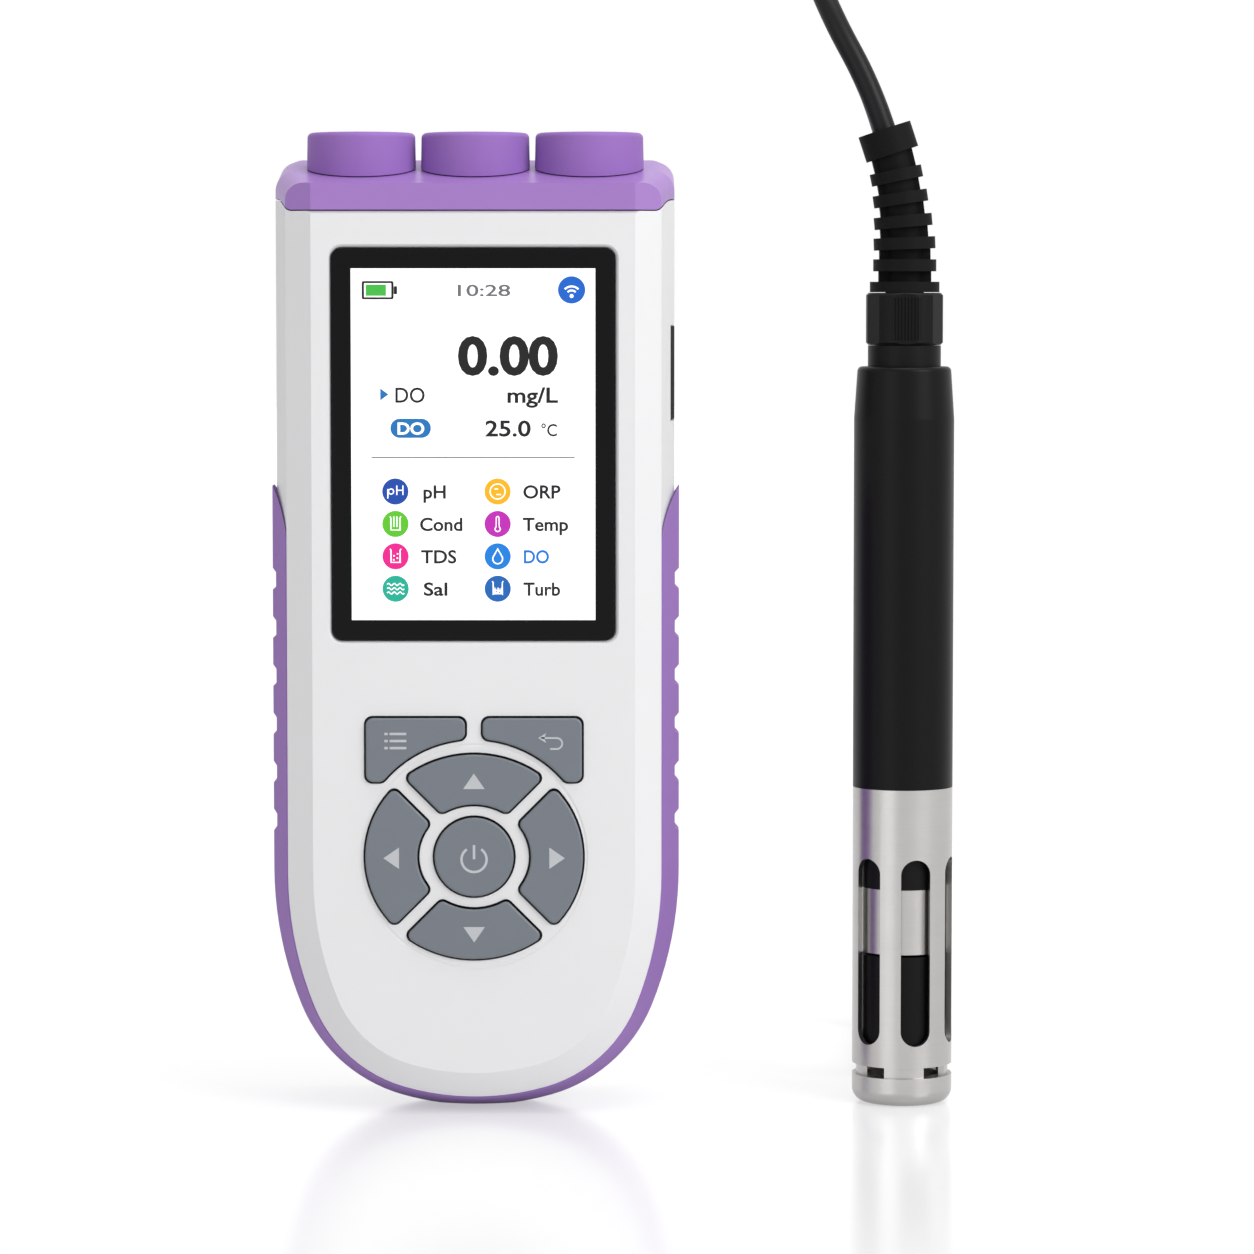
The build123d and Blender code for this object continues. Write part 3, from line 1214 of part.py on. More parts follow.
# Sensor body: the nipple below, the thread for the guard and the spigot that goes into the tube
SPIGOT_RADIUS = TUBE_BORE - FIT_GAP
SPIGOT_TOP_Z = TUBE_LOW_Z + SPIGOT_LENGTH
SPIGOT_RING_Z = TUBE_LOW_Z + SPIGOT_LENGTH / 2
NIPPLE_RING_Z = CAP_HIGH_Z - 2 * O_RING_HEIGHT
HEAD_RING_Z = TUBE_HIGH_Z - HEAD_SPIGOT / 2
with BuildPart() as sensor_body:
    add(drum(NIPPLE_LOW_Z, RING_HIGH_Z, NIPPLE_RADIUS))
    add(drum(RING_HIGH_Z, TUBE_LOW_Z, SENSOR_RADIUS))
    add(drum(TUBE_LOW_Z - THREAD_LENGTH, TUBE_LOW_Z, GUARD_BORE - FIT_GAP))
    add(drum(TUBE_LOW_Z, SPIGOT_TOP_Z, SPIGOT_RADIUS))
    nipple_groove = drum(
        NIPPLE_RING_Z, NIPPLE_RING_Z + O_RING_HEIGHT, SENSOR_RADIUS, NIPPLE_RADIUS - O_RING_DEPTH
    )
    add(nipple_groove, mode=Mode.SUBTRACT)
    spigot_groove = drum(
        SPIGOT_RING_Z, SPIGOT_RING_Z + O_RING_HEIGHT, PROBE_RADIUS, TUBE_BORE - O_RING_DEPTH
    )
    add(spigot_groove, mode=Mode.SUBTRACT)
    add(drum(NIPPLE_LOW_Z, SPIGOT_TOP_Z, SENSOR_BORE), mode=Mode.SUBTRACT)
write(sensor_body, "sensor_body")

# Steel ring round the nipple
with BuildPart() as sensor_ring:
    add(drum(RING_LOW_Z, RING_HIGH_Z, SENSOR_RADIUS, NIPPLE_RADIUS))
write(sensor_ring, "sensor_ring")

# Sensor cap that screws onto the nipple
CAP_BORE_Z = CAP_LOW_Z + CAP_FLOOR
with BuildPart() as sensor_cap:
    add(drum(CAP_LOW_Z, CAP_HIGH_Z, SENSOR_RADIUS))
    fillet(sensor_cap.edges().filter_by_position(Axis.Z, CAP_LOW_Z, CAP_LOW_Z), NUT_EDGE)
    add(drum(CAP_BORE_Z, CAP_HIGH_Z, NIPPLE_RADIUS + FIT_GAP), mode=Mode.SUBTRACT)
    add(drum(CAP_LOW_Z, CAP_LOW_Z + WINDOW_DISC, WINDOW_DISC_RADIUS), mode=Mode.SUBTRACT)
    add(drum(CAP_LOW_Z, CAP_BORE_Z, LIGHT_PATH), mode=Mode.SUBTRACT)
write(sensor_cap, "sensor_cap")

# Sensing disc in the end of the cap
with BuildPart() as sensor_window:
    add(drum(CAP_LOW_Z, CAP_LOW_Z + WINDOW_DISC, WINDOW_DISC_RADIUS))
write(sensor_window, "sensor_window")

# Lamp and detector block in the nipple
with BuildPart() as optics_block:
    add(drum(OPTICS_LOW_Z, OPTICS_LOW_Z + OPTICS_LENGTH, SENSOR_BORE))
write(optics_block, "optics_block")

# Rubber rings on the nipple and on the two spigots
with BuildPart() as probe_seals:
    add(drum(NIPPLE_RING_Z, NIPPLE_RING_Z + O_RING_HEIGHT, NIPPLE_RADIUS, NIPPLE_RADIUS - O_RING_DEPTH))
    add(drum(SPIGOT_RING_Z, SPIGOT_RING_Z + O_RING_HEIGHT, TUBE_BORE, TUBE_BORE - O_RING_DEPTH))
    add(drum(HEAD_RING_Z, HEAD_RING_Z + O_RING_HEIGHT, TUBE_BORE, TUBE_BORE - O_RING_DEPTH))
write(probe_seals, "probe_seals")

# Circuit board that stands on the optics block
with BuildPart() as probe_board:
    with BuildSketch(probe_level(OPTICS_LOW_Z + OPTICS_LENGTH)):
        Rectangle(PROBE_BOARD_WIDTH, BOARD_THICKNESS)
    extrude(amount=PROBE_BOARD_LENGTH)
write(probe_board, "probe_board")

# Probe tube
with BuildPart() as probe_tube:
    add(drum(TUBE_LOW_Z, TUBE_HIGH_Z, PROBE_RADIUS, TUBE_BORE))
write(probe_tube, "probe_tube")

# Probe head: narrows to the gland, with a spigot that goes into the tube
GLAND_SEAT_Z = HEAD_TOP_Z - GLAND_THREAD_LENGTH
HEAD_DRAFT = degrees(asin((PROBE_RADIUS - HEAD_TOP_RADIUS) / (HEAD_TOP_Z - TUBE_HIGH_Z)))
with BuildPart() as probe_head:
    with BuildSketch(probe_level(TUBE_HIGH_Z)):
        Circle(PROBE_RADIUS)
    extrude(amount=HEAD_TOP_Z - TUBE_HIGH_Z, taper=HEAD_DRAFT)
    fillet(probe_head.faces().sort_by(Axis.Z)[-1].edges(), HEAD_ROUND)
    add(drum(TUBE_HIGH_Z - HEAD_SPIGOT, TUBE_HIGH_Z, SPIGOT_RADIUS))
    head_groove = drum(HEAD_RING_Z, HEAD_RING_Z + O_RING_HEIGHT, PROBE_RADIUS, TUBE_BORE - O_RING_DEPTH)
    add(head_groove, mode=Mode.SUBTRACT)
    add(drum(TUBE_HIGH_Z - HEAD_SPIGOT, GLAND_SEAT_Z, HEAD_BORE), mode=Mode.SUBTRACT)
    add(drum(GLAND_SEAT_Z, HEAD_TOP_Z, GLAND_THREAD), mode=Mode.SUBTRACT)
write(probe_head, "probe_head")

# Gland body
GLAND_TOP_Z = NECK_TOP_Z + NUT_THREAD_LENGTH
CUP_Z = GLAND_TOP_Z - GLAND_CUP_DEPTH
with BuildPart() as gland_body:
    add(drum(GLAND_SEAT_Z, HEAD_TOP_Z, GLAND_THREAD))
    add(drum(HEAD_TOP_Z, NECK_TOP_Z, NECK_RADIUS))
    add(drum(NECK_TOP_Z, GLAND_TOP_Z, NUT_THREAD))
    add(drum(GLAND_SEAT_Z, CUP_Z, GLAND_BORE), mode=Mode.SUBTRACT)
    add(drum(CUP_Z, GLAND_TOP_Z, GLAND_CUP), mode=Mode.SUBTRACT)
write(gland_body, "gland_body")

# Rubber seal in the cup of the gland
with BuildPart() as gland_seal:
    add(drum(CUP_Z, CUP_Z + GLAND_SEAL, GLAND_CUP, GLAND_BORE))
write(gland_seal, "gland_seal")

# Gland nut, ribbed on every other flat
NUT_LOW_Z = NECK_TOP_Z + NUT_RUN_GAP
with BuildPart() as gland_nut:
    add(drum(NUT_LOW_Z, NUT_TOP_Z, NUT_RADIUS))
    chamfer(gland_nut.faces().filter_by(Axis.Z).edges(), NUT_EDGE)
    with BuildSketch(probe_level(NUT_LOW_Z)):
        RegularPolygon(NUT_FLATS / 2, 6, major_radius=False)
    extrude(amount=NUT_TOP_Z - NUT_LOW_Z, mode=Mode.INTERSECT)
    with BuildSketch(probe_level(NUT_LOW_Z + 2 * NUT_EDGE)):
        with PolarLocations(NUT_FLATS / 2, 3, start_angle=30):
            with GridLocations(1, KNURL_PITCH, 1, KNURL_COUNT):
                Rectangle(2 * KNURL_DEPTH, KNURL_WIDTH)
    extrude(amount=NUT_TOP_Z - NUT_LOW_Z - 4 * NUT_EDGE, mode=Mode.SUBTRACT)
    add(drum(NUT_LOW_Z, NUT_TOP_Z - NUT_ROOF, NUT_THREAD + FIT_GAP), mode=Mode.SUBTRACT)
    add(drum(NUT_LOW_Z, NUT_TOP_Z, RELIEF_ROOT + NUT_RUN_GAP), mode=Mode.SUBTRACT)
write(gland_nut, "gland_nut")


def bend_frame(z):
    """Plane across the strain relief where its middle line is at height z."""
    turn = asin(max(0, z - RELIEF_BEND_Z) / RELIEF_BEND_RADIUS)
    origin = (PROBE_X - RELIEF_BEND_RADIUS * (1 - cos(turn)), 0, z)
    return Plane(origin=origin, x_dir=(cos(turn), 0, sin(turn)), z_dir=(-sin(turn), 0, cos(turn)))


# Strain relief: a core with ribs, joined by a web at each side
EXIT = bend_frame(RELIEF_TOP_Z)
with BuildPart() as strain_relief:
    add(drum(CUP_Z + GLAND_SEAL, NUT_TOP_Z + NUT_RUN_GAP, RELIEF_ROOT))
    add(drum(NUT_TOP_Z + NUT_RUN_GAP, RELIEF_COLLAR_TOP_Z, RELIEF_COLLAR_RADIUS))
    with BuildLine(Plane(origin=(PROBE_X, 0, 0), x_dir=(1, 0, 0), z_dir=(0, -1, 0))) as relief_line:
        Line((0, RELIEF_COLLAR_TOP_Z - WEB_INSET), (0, RELIEF_BEND_Z))
        JernArc((0, RELIEF_BEND_Z), (0, 1), RELIEF_BEND_RADIUS, CORD_EXIT_TURN)
    with BuildSketch(probe_level(RELIEF_COLLAR_TOP_Z - WEB_INSET)):
        Circle(RELIEF_CORE)
    sweep(path=relief_line.line)
    for z, radius in RIB_PLACES:
        with BuildSketch(bend_frame(z)):
            Circle(radius)
        extrude(amount=RIB_THICKNESS / 2, both=True)
    top_web = (RELIEF_TOP_Z - TOP_COLLAR_THICKNESS / 2, TOP_COLLAR_RADIUS)
    webs = [(RELIEF_COLLAR_TOP_Z, RELIEF_COLLAR_RADIUS), *RIB_PLACES, top_web]
    for (low, low_radius), (high, high_radius) in zip(webs, webs[1:]):
        with BuildSketch(bend_frame((low + high) / 2)):
            Rectangle(2 * (min(low_radius, high_radius) - WEB_INSET), WEB_THICKNESS)
        extrude(amount=(high - low) / 2, both=True)
    with BuildSketch(EXIT):
        Circle(TOP_COLLAR_RADIUS)
    extrude(amount=-TOP_COLLAR_THICKNESS)
write(strain_relief, "strain_relief")

# Cord: from the strain relief up, over and down behind the probe, then along the top of the hank
CORD_POINTS = [
    tuple(EXIT.origin),
    (51.6, 0.0, 205.4),
    (43.4, 1.5, 220.3),
    (37.8, 15.0, 237.2),
    (38.2, 42.0, 240.5),
    (45.96, 62.0, 223.8),
    (54.96, 66.0, 208.2),
    (61.5, 68.5, 186.0),
    (63.2, 70.5, 150.0),
    behind(81.0, -4.8, 100.0),
    behind(83.0, -LANE, 59.0),
    behind(72.0, -LANE, 37.8),
    behind(50.4, -LANE, TOP_RUN_Z),
    behind(CORD_JOIN, -LANE, TOP_RUN_Z),
]
with BuildPart() as cord_tube:
    with BuildLine() as cord_line:
        FilletPolyline(*CORD_POINTS, radius=cord_radii("cord_tube", CORD_POINTS))
    with BuildSketch(EXIT):
        Circle(CORD_RADIUS)
    sweep(path=cord_line.line)
write(cord_tube, "cord_tube")

# The rest of the cord, wound in a hank that stands on its edge
with BuildPart() as cord_hank:
    with BuildSketch(hank_plane(-HANK_WIDTH / 2)):
        with Locations(((HANK_NEAR + HANK_FAR) / 2, HANK_MID_Z)):
            SlotCenterToCenter(HANK_RUN, HANK_TOP_Z)
    extrude(amount=HANK_WIDTH)
    with BuildSketch(hank_plane(-HANK_WIDTH / 2)):
        with Locations((TIE_START + TIE_WIDTH / 2, HANK_MID_Z)):
            Rectangle(TIE_WIDTH, 2 * HANK_TOP_Z)
            Rectangle(TIE_WIDTH, HANK_TOP_Z - 2 * TIE_SINK, mode=Mode.SUBTRACT)
    extrude(amount=HANK_WIDTH, mode=Mode.SUBTRACT)
    for v in (-HANK_WIDTH / 2, HANK_WIDTH / 2 - TIE_SINK):
        with BuildSketch(hank_plane(v)):
            with Locations((TIE_START + TIE_WIDTH / 2, HANK_MID_Z)):
                Rectangle(TIE_WIDTH, HANK_TOP_Z)
        extrude(amount=TIE_SINK, mode=Mode.SUBTRACT)
    with BuildSketch(hank_plane(-HANK_WIDTH / 2)):
        with Locations((CORD_JOIN, LANE_FLOOR_Z)):
            Rectangle(HANK_FAR, HANK_TOP_Z, align=(Align.MIN, Align.MIN))
    extrude(amount=LANE_CUT, mode=Mode.SUBTRACT)
    for v, end in ((TAIL_LANE, TAIL_JOIN), (TAIL_SWEEP, TIE_START)):
        with BuildSketch(hank_plane(v)):
            with Locations((end, TAIL_FLOOR_Z)):
                Rectangle(HANK_FAR, HANK_TOP_Z, align=(Align.MAX, Align.MIN))
        extrude(amount=HANK_WIDTH, mode=Mode.SUBTRACT)
write(cord_hank, "cord_hank")

# The last of the cord, from the hank up into the plug
TAIL_POINTS = [
    behind(TAIL_JOIN, TAIL_V, TAIL_Z),
    behind(TAIL_RISE, TAIL_V, TAIL_Z),
    behind(TAIL_LEVEL, PLUG_AXIS_V, PLUG_AXIS_Z),
    behind(PLUG_REAR, PLUG_AXIS_V, PLUG_AXIS_Z),
]
with BuildPart() as cord_tail:
    with BuildLine() as tail_line:
        FilletPolyline(*TAIL_POINTS, radius=cord_radii("cord_tail", TAIL_POINTS))
    with BuildSketch(Plane(origin=TAIL_POINTS[0], z_dir=tail_line.line % 0)):
        Circle(CORD_RADIUS)
    sweep(path=tail_line.line)
write(cord_tail, "cord_tail")

# Tie round the waist of the hank
with BuildPart() as hank_tie:
    with BuildSketch(hank_plane(TIE_SINK - HANK_WIDTH / 2 - TIE_THICKNESS)):
        with Locations((TIE_START + TIE_WIDTH / 2, HANK_MID_Z)):
            Rectangle(TIE_WIDTH, HANK_TOP_Z - 2 * TIE_SINK + 2 * TIE_THICKNESS)
    extrude(amount=HANK_WIDTH - 2 * TIE_SINK + 2 * TIE_THICKNESS)
    with BuildSketch(hank_plane(TIE_SINK - HANK_WIDTH / 2)):
        with Locations((TIE_START + TIE_WIDTH / 2, HANK_MID_Z)):
            Rectangle(TIE_WIDTH, HANK_TOP_Z - 2 * TIE_SINK)
    extrude(amount=HANK_WIDTH - 2 * TIE_SINK, mode=Mode.SUBTRACT)
write(hank_tie, "hank_tie")

# Plug: a tapered boot, a body, a neck with a shoulder and a nose, all one moulding
SHOULDER_U = PLUG_REAR - BOOT_LENGTH - PLUG_BODY_LENGTH - PLUG_RING_BACK - 2 * PLUG_RING_GAP
NOSE_END_U = SHOULDER_U - PLUG_SHOULDER - PLUG_NOSE_LENGTH
with BuildPart() as plug_body:
    with BuildSketch(plug_plane(PLUG_REAR)):
        Circle(BOOT_SMALL)
    with BuildSketch(plug_plane(PLUG_REAR - BOOT_LENGTH)):
        Circle(BOOT_LARGE)
    loft()
    with BuildSketch(plug_plane(PLUG_REAR - BOOT_LENGTH)):
        Circle(PLUG_BODY_RADIUS)
    extrude(amount=PLUG_BODY_LENGTH)
    with BuildSketch(plug_plane(PLUG_REAR - BOOT_LENGTH - PLUG_BODY_LENGTH)):
        Circle(PLUG_NECK_RADIUS)
    extrude(amount=PLUG_RING_BACK + 2 * PLUG_RING_GAP)
    with BuildSketch(plug_plane(SHOULDER_U)):
        Circle(PLUG_SHOULDER_RADIUS)
    extrude(amount=PLUG_SHOULDER)
    with BuildSketch(plug_plane(SHOULDER_U - PLUG_SHOULDER)):
        Circle(PLUG_NOSE_RADIUS)
    extrude(amount=PLUG_NOSE_LENGTH)
write(plug_body, "plug_body")

# Ring that turns on the plug's neck, grooved for the fingers
RING_START_U = PLUG_REAR - BOOT_LENGTH - PLUG_BODY_LENGTH - PLUG_RING_GAP
with BuildPart() as plug_ring:
    with BuildSketch(plug_plane(RING_START_U)):
        Circle(PLUG_RING_RADIUS)
        with PolarLocations(PLUG_RING_RADIUS, PLUG_GRIPS):
            Circle(PLUG_GRIP_GROOVE, mode=Mode.SUBTRACT)
    extrude(amount=PLUG_RING_LENGTH)
    with BuildSketch(plug_plane(RING_START_U)):
        Circle(PLUG_NECK_RADIUS + PLUG_RING_GAP)
    extrude(amount=PLUG_RING_BACK, mode=Mode.SUBTRACT)
    with BuildSketch(plug_plane(RING_START_U - PLUG_RING_BACK)):
        Circle(PLUG_RING_RADIUS - PLUG_RING_WALL)
    extrude(amount=PLUG_RING_LENGTH - PLUG_RING_BACK, mode=Mode.SUBTRACT)
write(plug_ring, "plug_ring")

# Pins in the plug's nose
with BuildPart() as plug_pins:
    with BuildSketch(plug_plane(NOSE_END_U)):
        with PolarLocations(CONTACT_CIRCLE, CONTACT_COUNT):
            Circle(PIN_RADIUS)
    extrude(amount=PLUG_PIN_LENGTH)
write(plug_pins, "plug_pins")
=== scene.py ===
"""Scene of a dissolved oxygen meter: the hand-held meter, its probe on a lead, and the studio round them.

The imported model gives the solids. This script gives them their finishes, adds the graphics of the display,
the prints on the keys and the lead's one smooth line, and sets the camera where the photograph was taken.
Everything is in metres, in the model's own frame. The sizes of the pieces are written in millimetres.
"""

import json
import logging
import math
from dataclasses import dataclass
from enum import Enum

import bpy
from mathutils import Matrix, Vector


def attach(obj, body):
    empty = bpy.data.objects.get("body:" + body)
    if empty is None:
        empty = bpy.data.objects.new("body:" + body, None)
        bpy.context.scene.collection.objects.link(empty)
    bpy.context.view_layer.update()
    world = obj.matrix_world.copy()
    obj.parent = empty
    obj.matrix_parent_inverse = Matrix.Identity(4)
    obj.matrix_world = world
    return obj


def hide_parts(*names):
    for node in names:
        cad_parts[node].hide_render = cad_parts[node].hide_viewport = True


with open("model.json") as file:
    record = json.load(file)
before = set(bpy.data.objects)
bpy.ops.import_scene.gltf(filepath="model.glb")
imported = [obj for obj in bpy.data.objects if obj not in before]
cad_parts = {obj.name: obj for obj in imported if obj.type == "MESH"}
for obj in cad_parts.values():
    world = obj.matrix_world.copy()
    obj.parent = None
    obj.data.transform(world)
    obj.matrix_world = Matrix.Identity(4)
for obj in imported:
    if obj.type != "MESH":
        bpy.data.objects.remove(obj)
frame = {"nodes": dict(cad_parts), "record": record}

MM = 0.001
METER_X = -27.775
PROBE_X = 58.625
GLASS_Y = -17.5
KEY_FACE_Y = -18.5
CAPITAL_SHARE = 0.729
FOLD_RISE = 0.924

Point2 = tuple[float, float]
Point3 = tuple[float, float, float]
Colour = tuple[float, float, float, float]

log = logging.getLogger("meter")


def tint(red: int, green: int, blue: int) -> Colour:
    """Turn a colour as a screen shows it into the linear colour that a shader takes.

    Args:
        red: Red, from 0 to 255.
        green: Green, from 0 to 255.
        blue: Blue, from 0 to 255.

    Returns:
        The linear colour, with full alpha.
    """
    parts = []
    for part in (red, green, blue):
        share = part / 255
        parts.append(share / 12.92 if share <= 0.04045 else ((share + 0.055) / 1.055) ** 2.4)
    return (parts[0], parts[1], parts[2], 1.0)


class Wire:
    """One output socket of a material, with the arithmetic of Python.

    An expression on numbers adds Math nodes, and one on vectors adds Vector Math nodes.
    """

    def __init__(self, tree: bpy.types.NodeTree, socket: bpy.types.NodeSocket) -> None:
        """Hold the tree and the socket."""
        self.tree = tree
        self.socket = socket

    def _join(self, operation: str, *terms: "Wire | float | Point3") -> "Wire":
        """Add the node of one operation.

        Args:
            operation: Name of the operation.
            terms: What goes into the node, in order.

        Returns:
            The node's result.
        """
        vectors = any(isinstance(term, Wire) and term.socket.type == "VECTOR" for term in terms)
        node = self.tree.nodes.new("ShaderNodeVectorMath" if vectors else "ShaderNodeMath")
        node.operation = operation
        for socket, term in zip(node.inputs, terms):
            if isinstance(term, Wire):
                self.tree.links.new(term.socket, socket)
            elif vectors and not isinstance(term, tuple):
                socket.default_value = (term, term, term)
            else:
                socket.default_value = term
        return Wire(self.tree, node.outputs[0])

    def __add__(self, other: "Wire | float") -> "Wire":
        """Sum."""
        return self._join("ADD", self, other)

    def __radd__(self, other: float) -> "Wire":
        """Sum, with the plain number first."""
        return self._join("ADD", other, self)

    def __sub__(self, other: "Wire | float") -> "Wire":
        """Difference."""
        return self._join("SUBTRACT", self, other)

    def __rsub__(self, other: float) -> "Wire":
        """Difference, with the plain number first."""
        return self._join("SUBTRACT", other, self)

    def __mul__(self, other: "Wire | float") -> "Wire":
        """Product."""
        return self._join("MULTIPLY", self, other)

    def __rmul__(self, other: float) -> "Wire":
        """Product, with the plain number first."""
        return self._join("MULTIPLY", other, self)

    def __truediv__(self, other: "Wire | float") -> "Wire":
        """Quotient."""
        return self._join("DIVIDE", self, other)

    def __rtruediv__(self, other: float) -> "Wire":
        """Quotient, with the plain number first."""
        return self._join("DIVIDE", other, self)

    def __pow__(self, other: "Wire | float") -> "Wire":
        """Power."""
        return self._join("POWER", self, other)

    def __rpow__(self, other: float) -> "Wire":
        """Power of a plain number."""
        return self._join("POWER", other, self)

    def __abs__(self) -> "Wire":
        """Size without its sign."""
        return self._join("ABSOLUTE", self)

    def __neg__(self) -> "Wire":
        """Opposite."""
        return self._join("MULTIPLY", self, -1.0)

    def below(self, limit: float, soft: float) -> "Wire":
        """Mask that is 1 below a limit and falls to 0 above it.

        Args:
            limit: The value at the middle of the step.
            soft: Half the width of the step.

        Returns:
            The mask.
        """
        node = self.tree.nodes.new("ShaderNodeMapRange")
        node.interpolation_type = "SMOOTHSTEP"
        self.tree.links.new(self.socket, node.inputs["Value"])
        node.inputs["From Min"].default_value = limit - soft
        node.inputs["From Max"].default_value = limit + soft
        node.inputs["To Min"].default_value = 1.0
        node.inputs["To Max"].default_value = 0.0
        return Wire(self.tree, node.outputs["Result"])

    def most(self, other: "Wire | float") -> "Wire":
        """The larger of two values."""
        return self._join("MAXIMUM", self, other)


class Bench:
    """The node tree of one material, and the ways to put nodes into it."""

    def __init__(self, name: str) -> None:
        """Start an empty material.

        Args:
            name: Name of the material.
        """
        self.material = bpy.data.materials.new(name)
        self.material.use_nodes = True
        self.tree = self.material.node_tree
        self.tree.nodes.clear()

    def add(
        self,
        kind: str,
        settings: dict[str, object] | None = None,
        sockets: dict[str | int, object] | None = None,
        output: str | int = 0,
    ) -> Wire:
        """Add any node.

        Args:
            kind: Type of the node.
            settings: Its settings, set first.
            sockets: Values or wires of its inputs, by name or number.
            output: The output that is handed back.

        Returns:
            The wire of that output.
        """
        node = self.tree.nodes.new(kind)
        for name, value in (settings or {}).items():
            setattr(node, name, value)
        for name, value in (sockets or {}).items():
            if isinstance(value, Wire):
                self.tree.links.new(value.socket, node.inputs[name])
            else:
                node.inputs[name].default_value = value
        return Wire(self.tree, node.outputs[output]) if len(node.outputs) else Wire(self.tree, None)

    def place(self, centre: Point3 = (0, 0, 0), turn: Point3 = (0, 0, 0), scale: Point3 = (1, 1, 1)) -> Wire:
        """Object coordinates about a centre.

        Args:
            centre: The centre, in millimetres.
            turn: Turn about each axis, in degrees.
            scale: Stretch along each axis.

        Returns:
            The vector.
        """
        spot = self.add("ShaderNodeTexCoord", output="Object")
        moved = spot - tuple(part * MM for part in centre)
        return self.add(
            "ShaderNodeMapping",
            {"vector_type": "POINT"},
            {0: moved, "Rotation": tuple(math.radians(part) for part in turn), "Scale": scale},
        )

    def axes(self, vector: Wire) -> tuple[Wire, Wire, Wire]:
        """Split a vector.

        Args:
            vector: The vector.

        Returns:
            Its parts across, in depth and up.
        """
        node = self.tree.nodes.new("ShaderNodeSeparateXYZ")
        self.tree.links.new(vector.socket, node.inputs[0])
        return tuple(Wire(self.tree, output) for output in node.outputs)

    def noise(self, vector: Wire, size: float, detail: float = 3.0, rough: float = 0.5) -> Wire:
        """Noise whose features have a given size.

        Args:
            vector: Where it is read.
            size: Size of a feature, in millimetres.
            detail: Number of finer layers.
            rough: Strength of the finer layers.

        Returns:
            The value, from 0 to 1.
        """
        sockets = {"Vector": vector, "Scale": 1 / (size * MM), "Detail": detail, "Roughness": rough}
        return self.add("ShaderNodeTexNoise", {"noise_dimensions": "3D"}, sockets)

    def cells(self, vector: Wire, size: float) -> Wire:
        """Distance to the nearest of scattered points, a given size apart in millimetres."""
        return self.add("ShaderNodeTexVoronoi", sockets={"Vector": vector, "Scale": 1 / (size * MM)})

    def mix(self, mask: Wire | float, low: Wire | Colour, high: Wire | Colour) -> Wire:
        """Blend of two colours.

        Args:
            mask: Share of the second colour.
            low: First colour.
            high: Second colour.

        Returns:
            The blend.
        """
        node = self.tree.nodes.new("ShaderNodeMix")
        node.data_type = "RGBA"
        for socket, value in ((node.inputs[0], mask), (node.inputs[6], low), (node.inputs[7], high)):
            if isinstance(value, Wire):
                self.tree.links.new(value.socket, socket)
            else:
                socket.default_value = value
        return Wire(self.tree, node.outputs[2])

    def shades(self, mask: Wire, colour: Colour, darker: float, lighter: float) -> Wire:
        """A colour that runs between a darker and a lighter shade of itself.

        Args:
            mask: Where it is lighter.
            colour: The colour.
            darker: What the darker shade is multiplied by.
            lighter: What the lighter shade is multiplied by.

        Returns:
            The colour over the surface.
        """
        low = tuple(part * darker for part in colour[:3]) + (1.0,)
        high = tuple(min(part * lighter, 1.0) for part in colour[:3]) + (1.0,)
        return self.mix(mask, low, high)

    def bump(self, height: Wire, millimetres: float, under: Wire | None = None) -> Wire:
        """Relief from a height.

        Args:
            height: Height, from 0 to 1.
            millimetres: How high 1 is.
            under: A coarser relief that this one is laid on.

        Returns:
            The normal.
        """
        sockets = {"Height": height, "Distance": millimetres * MM, "Strength": 1.0}
        if under is not None:
            sockets["Normal"] = under
        return self.add("ShaderNodeBump", sockets=sockets)

    def finish(self, sockets: dict[str, object]) -> bpy.types.Material:
        """End the tree in one Principled shader.

        Args:
            sockets: Values and wires of the shader's inputs.

        Returns:
            The material.
        """
        shader = self.add("ShaderNodeBsdfPrincipled", sockets=sockets)
        self.add("ShaderNodeOutputMaterial", sockets={"Surface": shader})
        return self.material


@dataclass(frozen=True)
class MouldedPlastic:
    """Injection-moulded plastic with the fine texture of its mould."""

    name: str
    colour: Colour
    roughness: float
    texture: float = 0.35
    relief: float = 0.006
    clouds: float = 0.03
    specular: float = 0.5
    coat: float = 0.0

    def make(self) -> bpy.types.Material:
        """Build the material."""
        bench = Bench(self.name)
        spot = bench.place()
        grain = bench.noise(spot, self.texture, 2.0)
        clouds = bench.noise(spot, 22.0, 3.0)
        rub = bench.noise(bench.place(scale=(1.0, 1.0, 0.35)), 5.0, 4.0)
        colour = bench.shades(clouds, self.colour, 1 - self.clouds, 1 + self.clouds)
        return bench.finish({
            "Base Color": self.paint(bench, colour),
            "Roughness": self.roughness - 0.05 + 0.07 * rub + 0.05 * grain,
            "Specular IOR Level": self.specular,
            "Coat Weight": self.coat,
            "Coat Roughness": 0.25,
            "Normal": bench.bump(grain, self.relief, self.form(bench)),
        })

    def paint(self, bench: Bench, colour: Wire) -> Wire:
        """Colour of the surface, plain here."""
        return colour

    def form(self, bench: Bench) -> Wire | None:
        """Coarser relief under the texture, none here."""
        return None


@dataclass(frozen=True)
class FrontShellPlastic(MouldedPlastic):
    """White plastic of the case, with the shallow line that runs round the keys."""

    ring_z: float = 51.9
    ring_radius: float = 22.35
    line_width: float = 0.22
    line_depth: float = 0.09
    face_y: float = -17.0

    def form(self, bench: Bench) -> Wire | None:
        """Cut the line round the keys into the front face."""
        across, deep, up = bench.axes(bench.place((METER_X, 0.0, self.ring_z)))
        reach = (across * across + up * up) ** 0.5
        off = abs(reach - self.ring_radius * MM)
        line = off.below(self.line_width * MM, self.line_width * MM) * deep.below(self.face_y * MM, 0.1 * MM)
        return bench.bump(1 - line, self.line_depth)


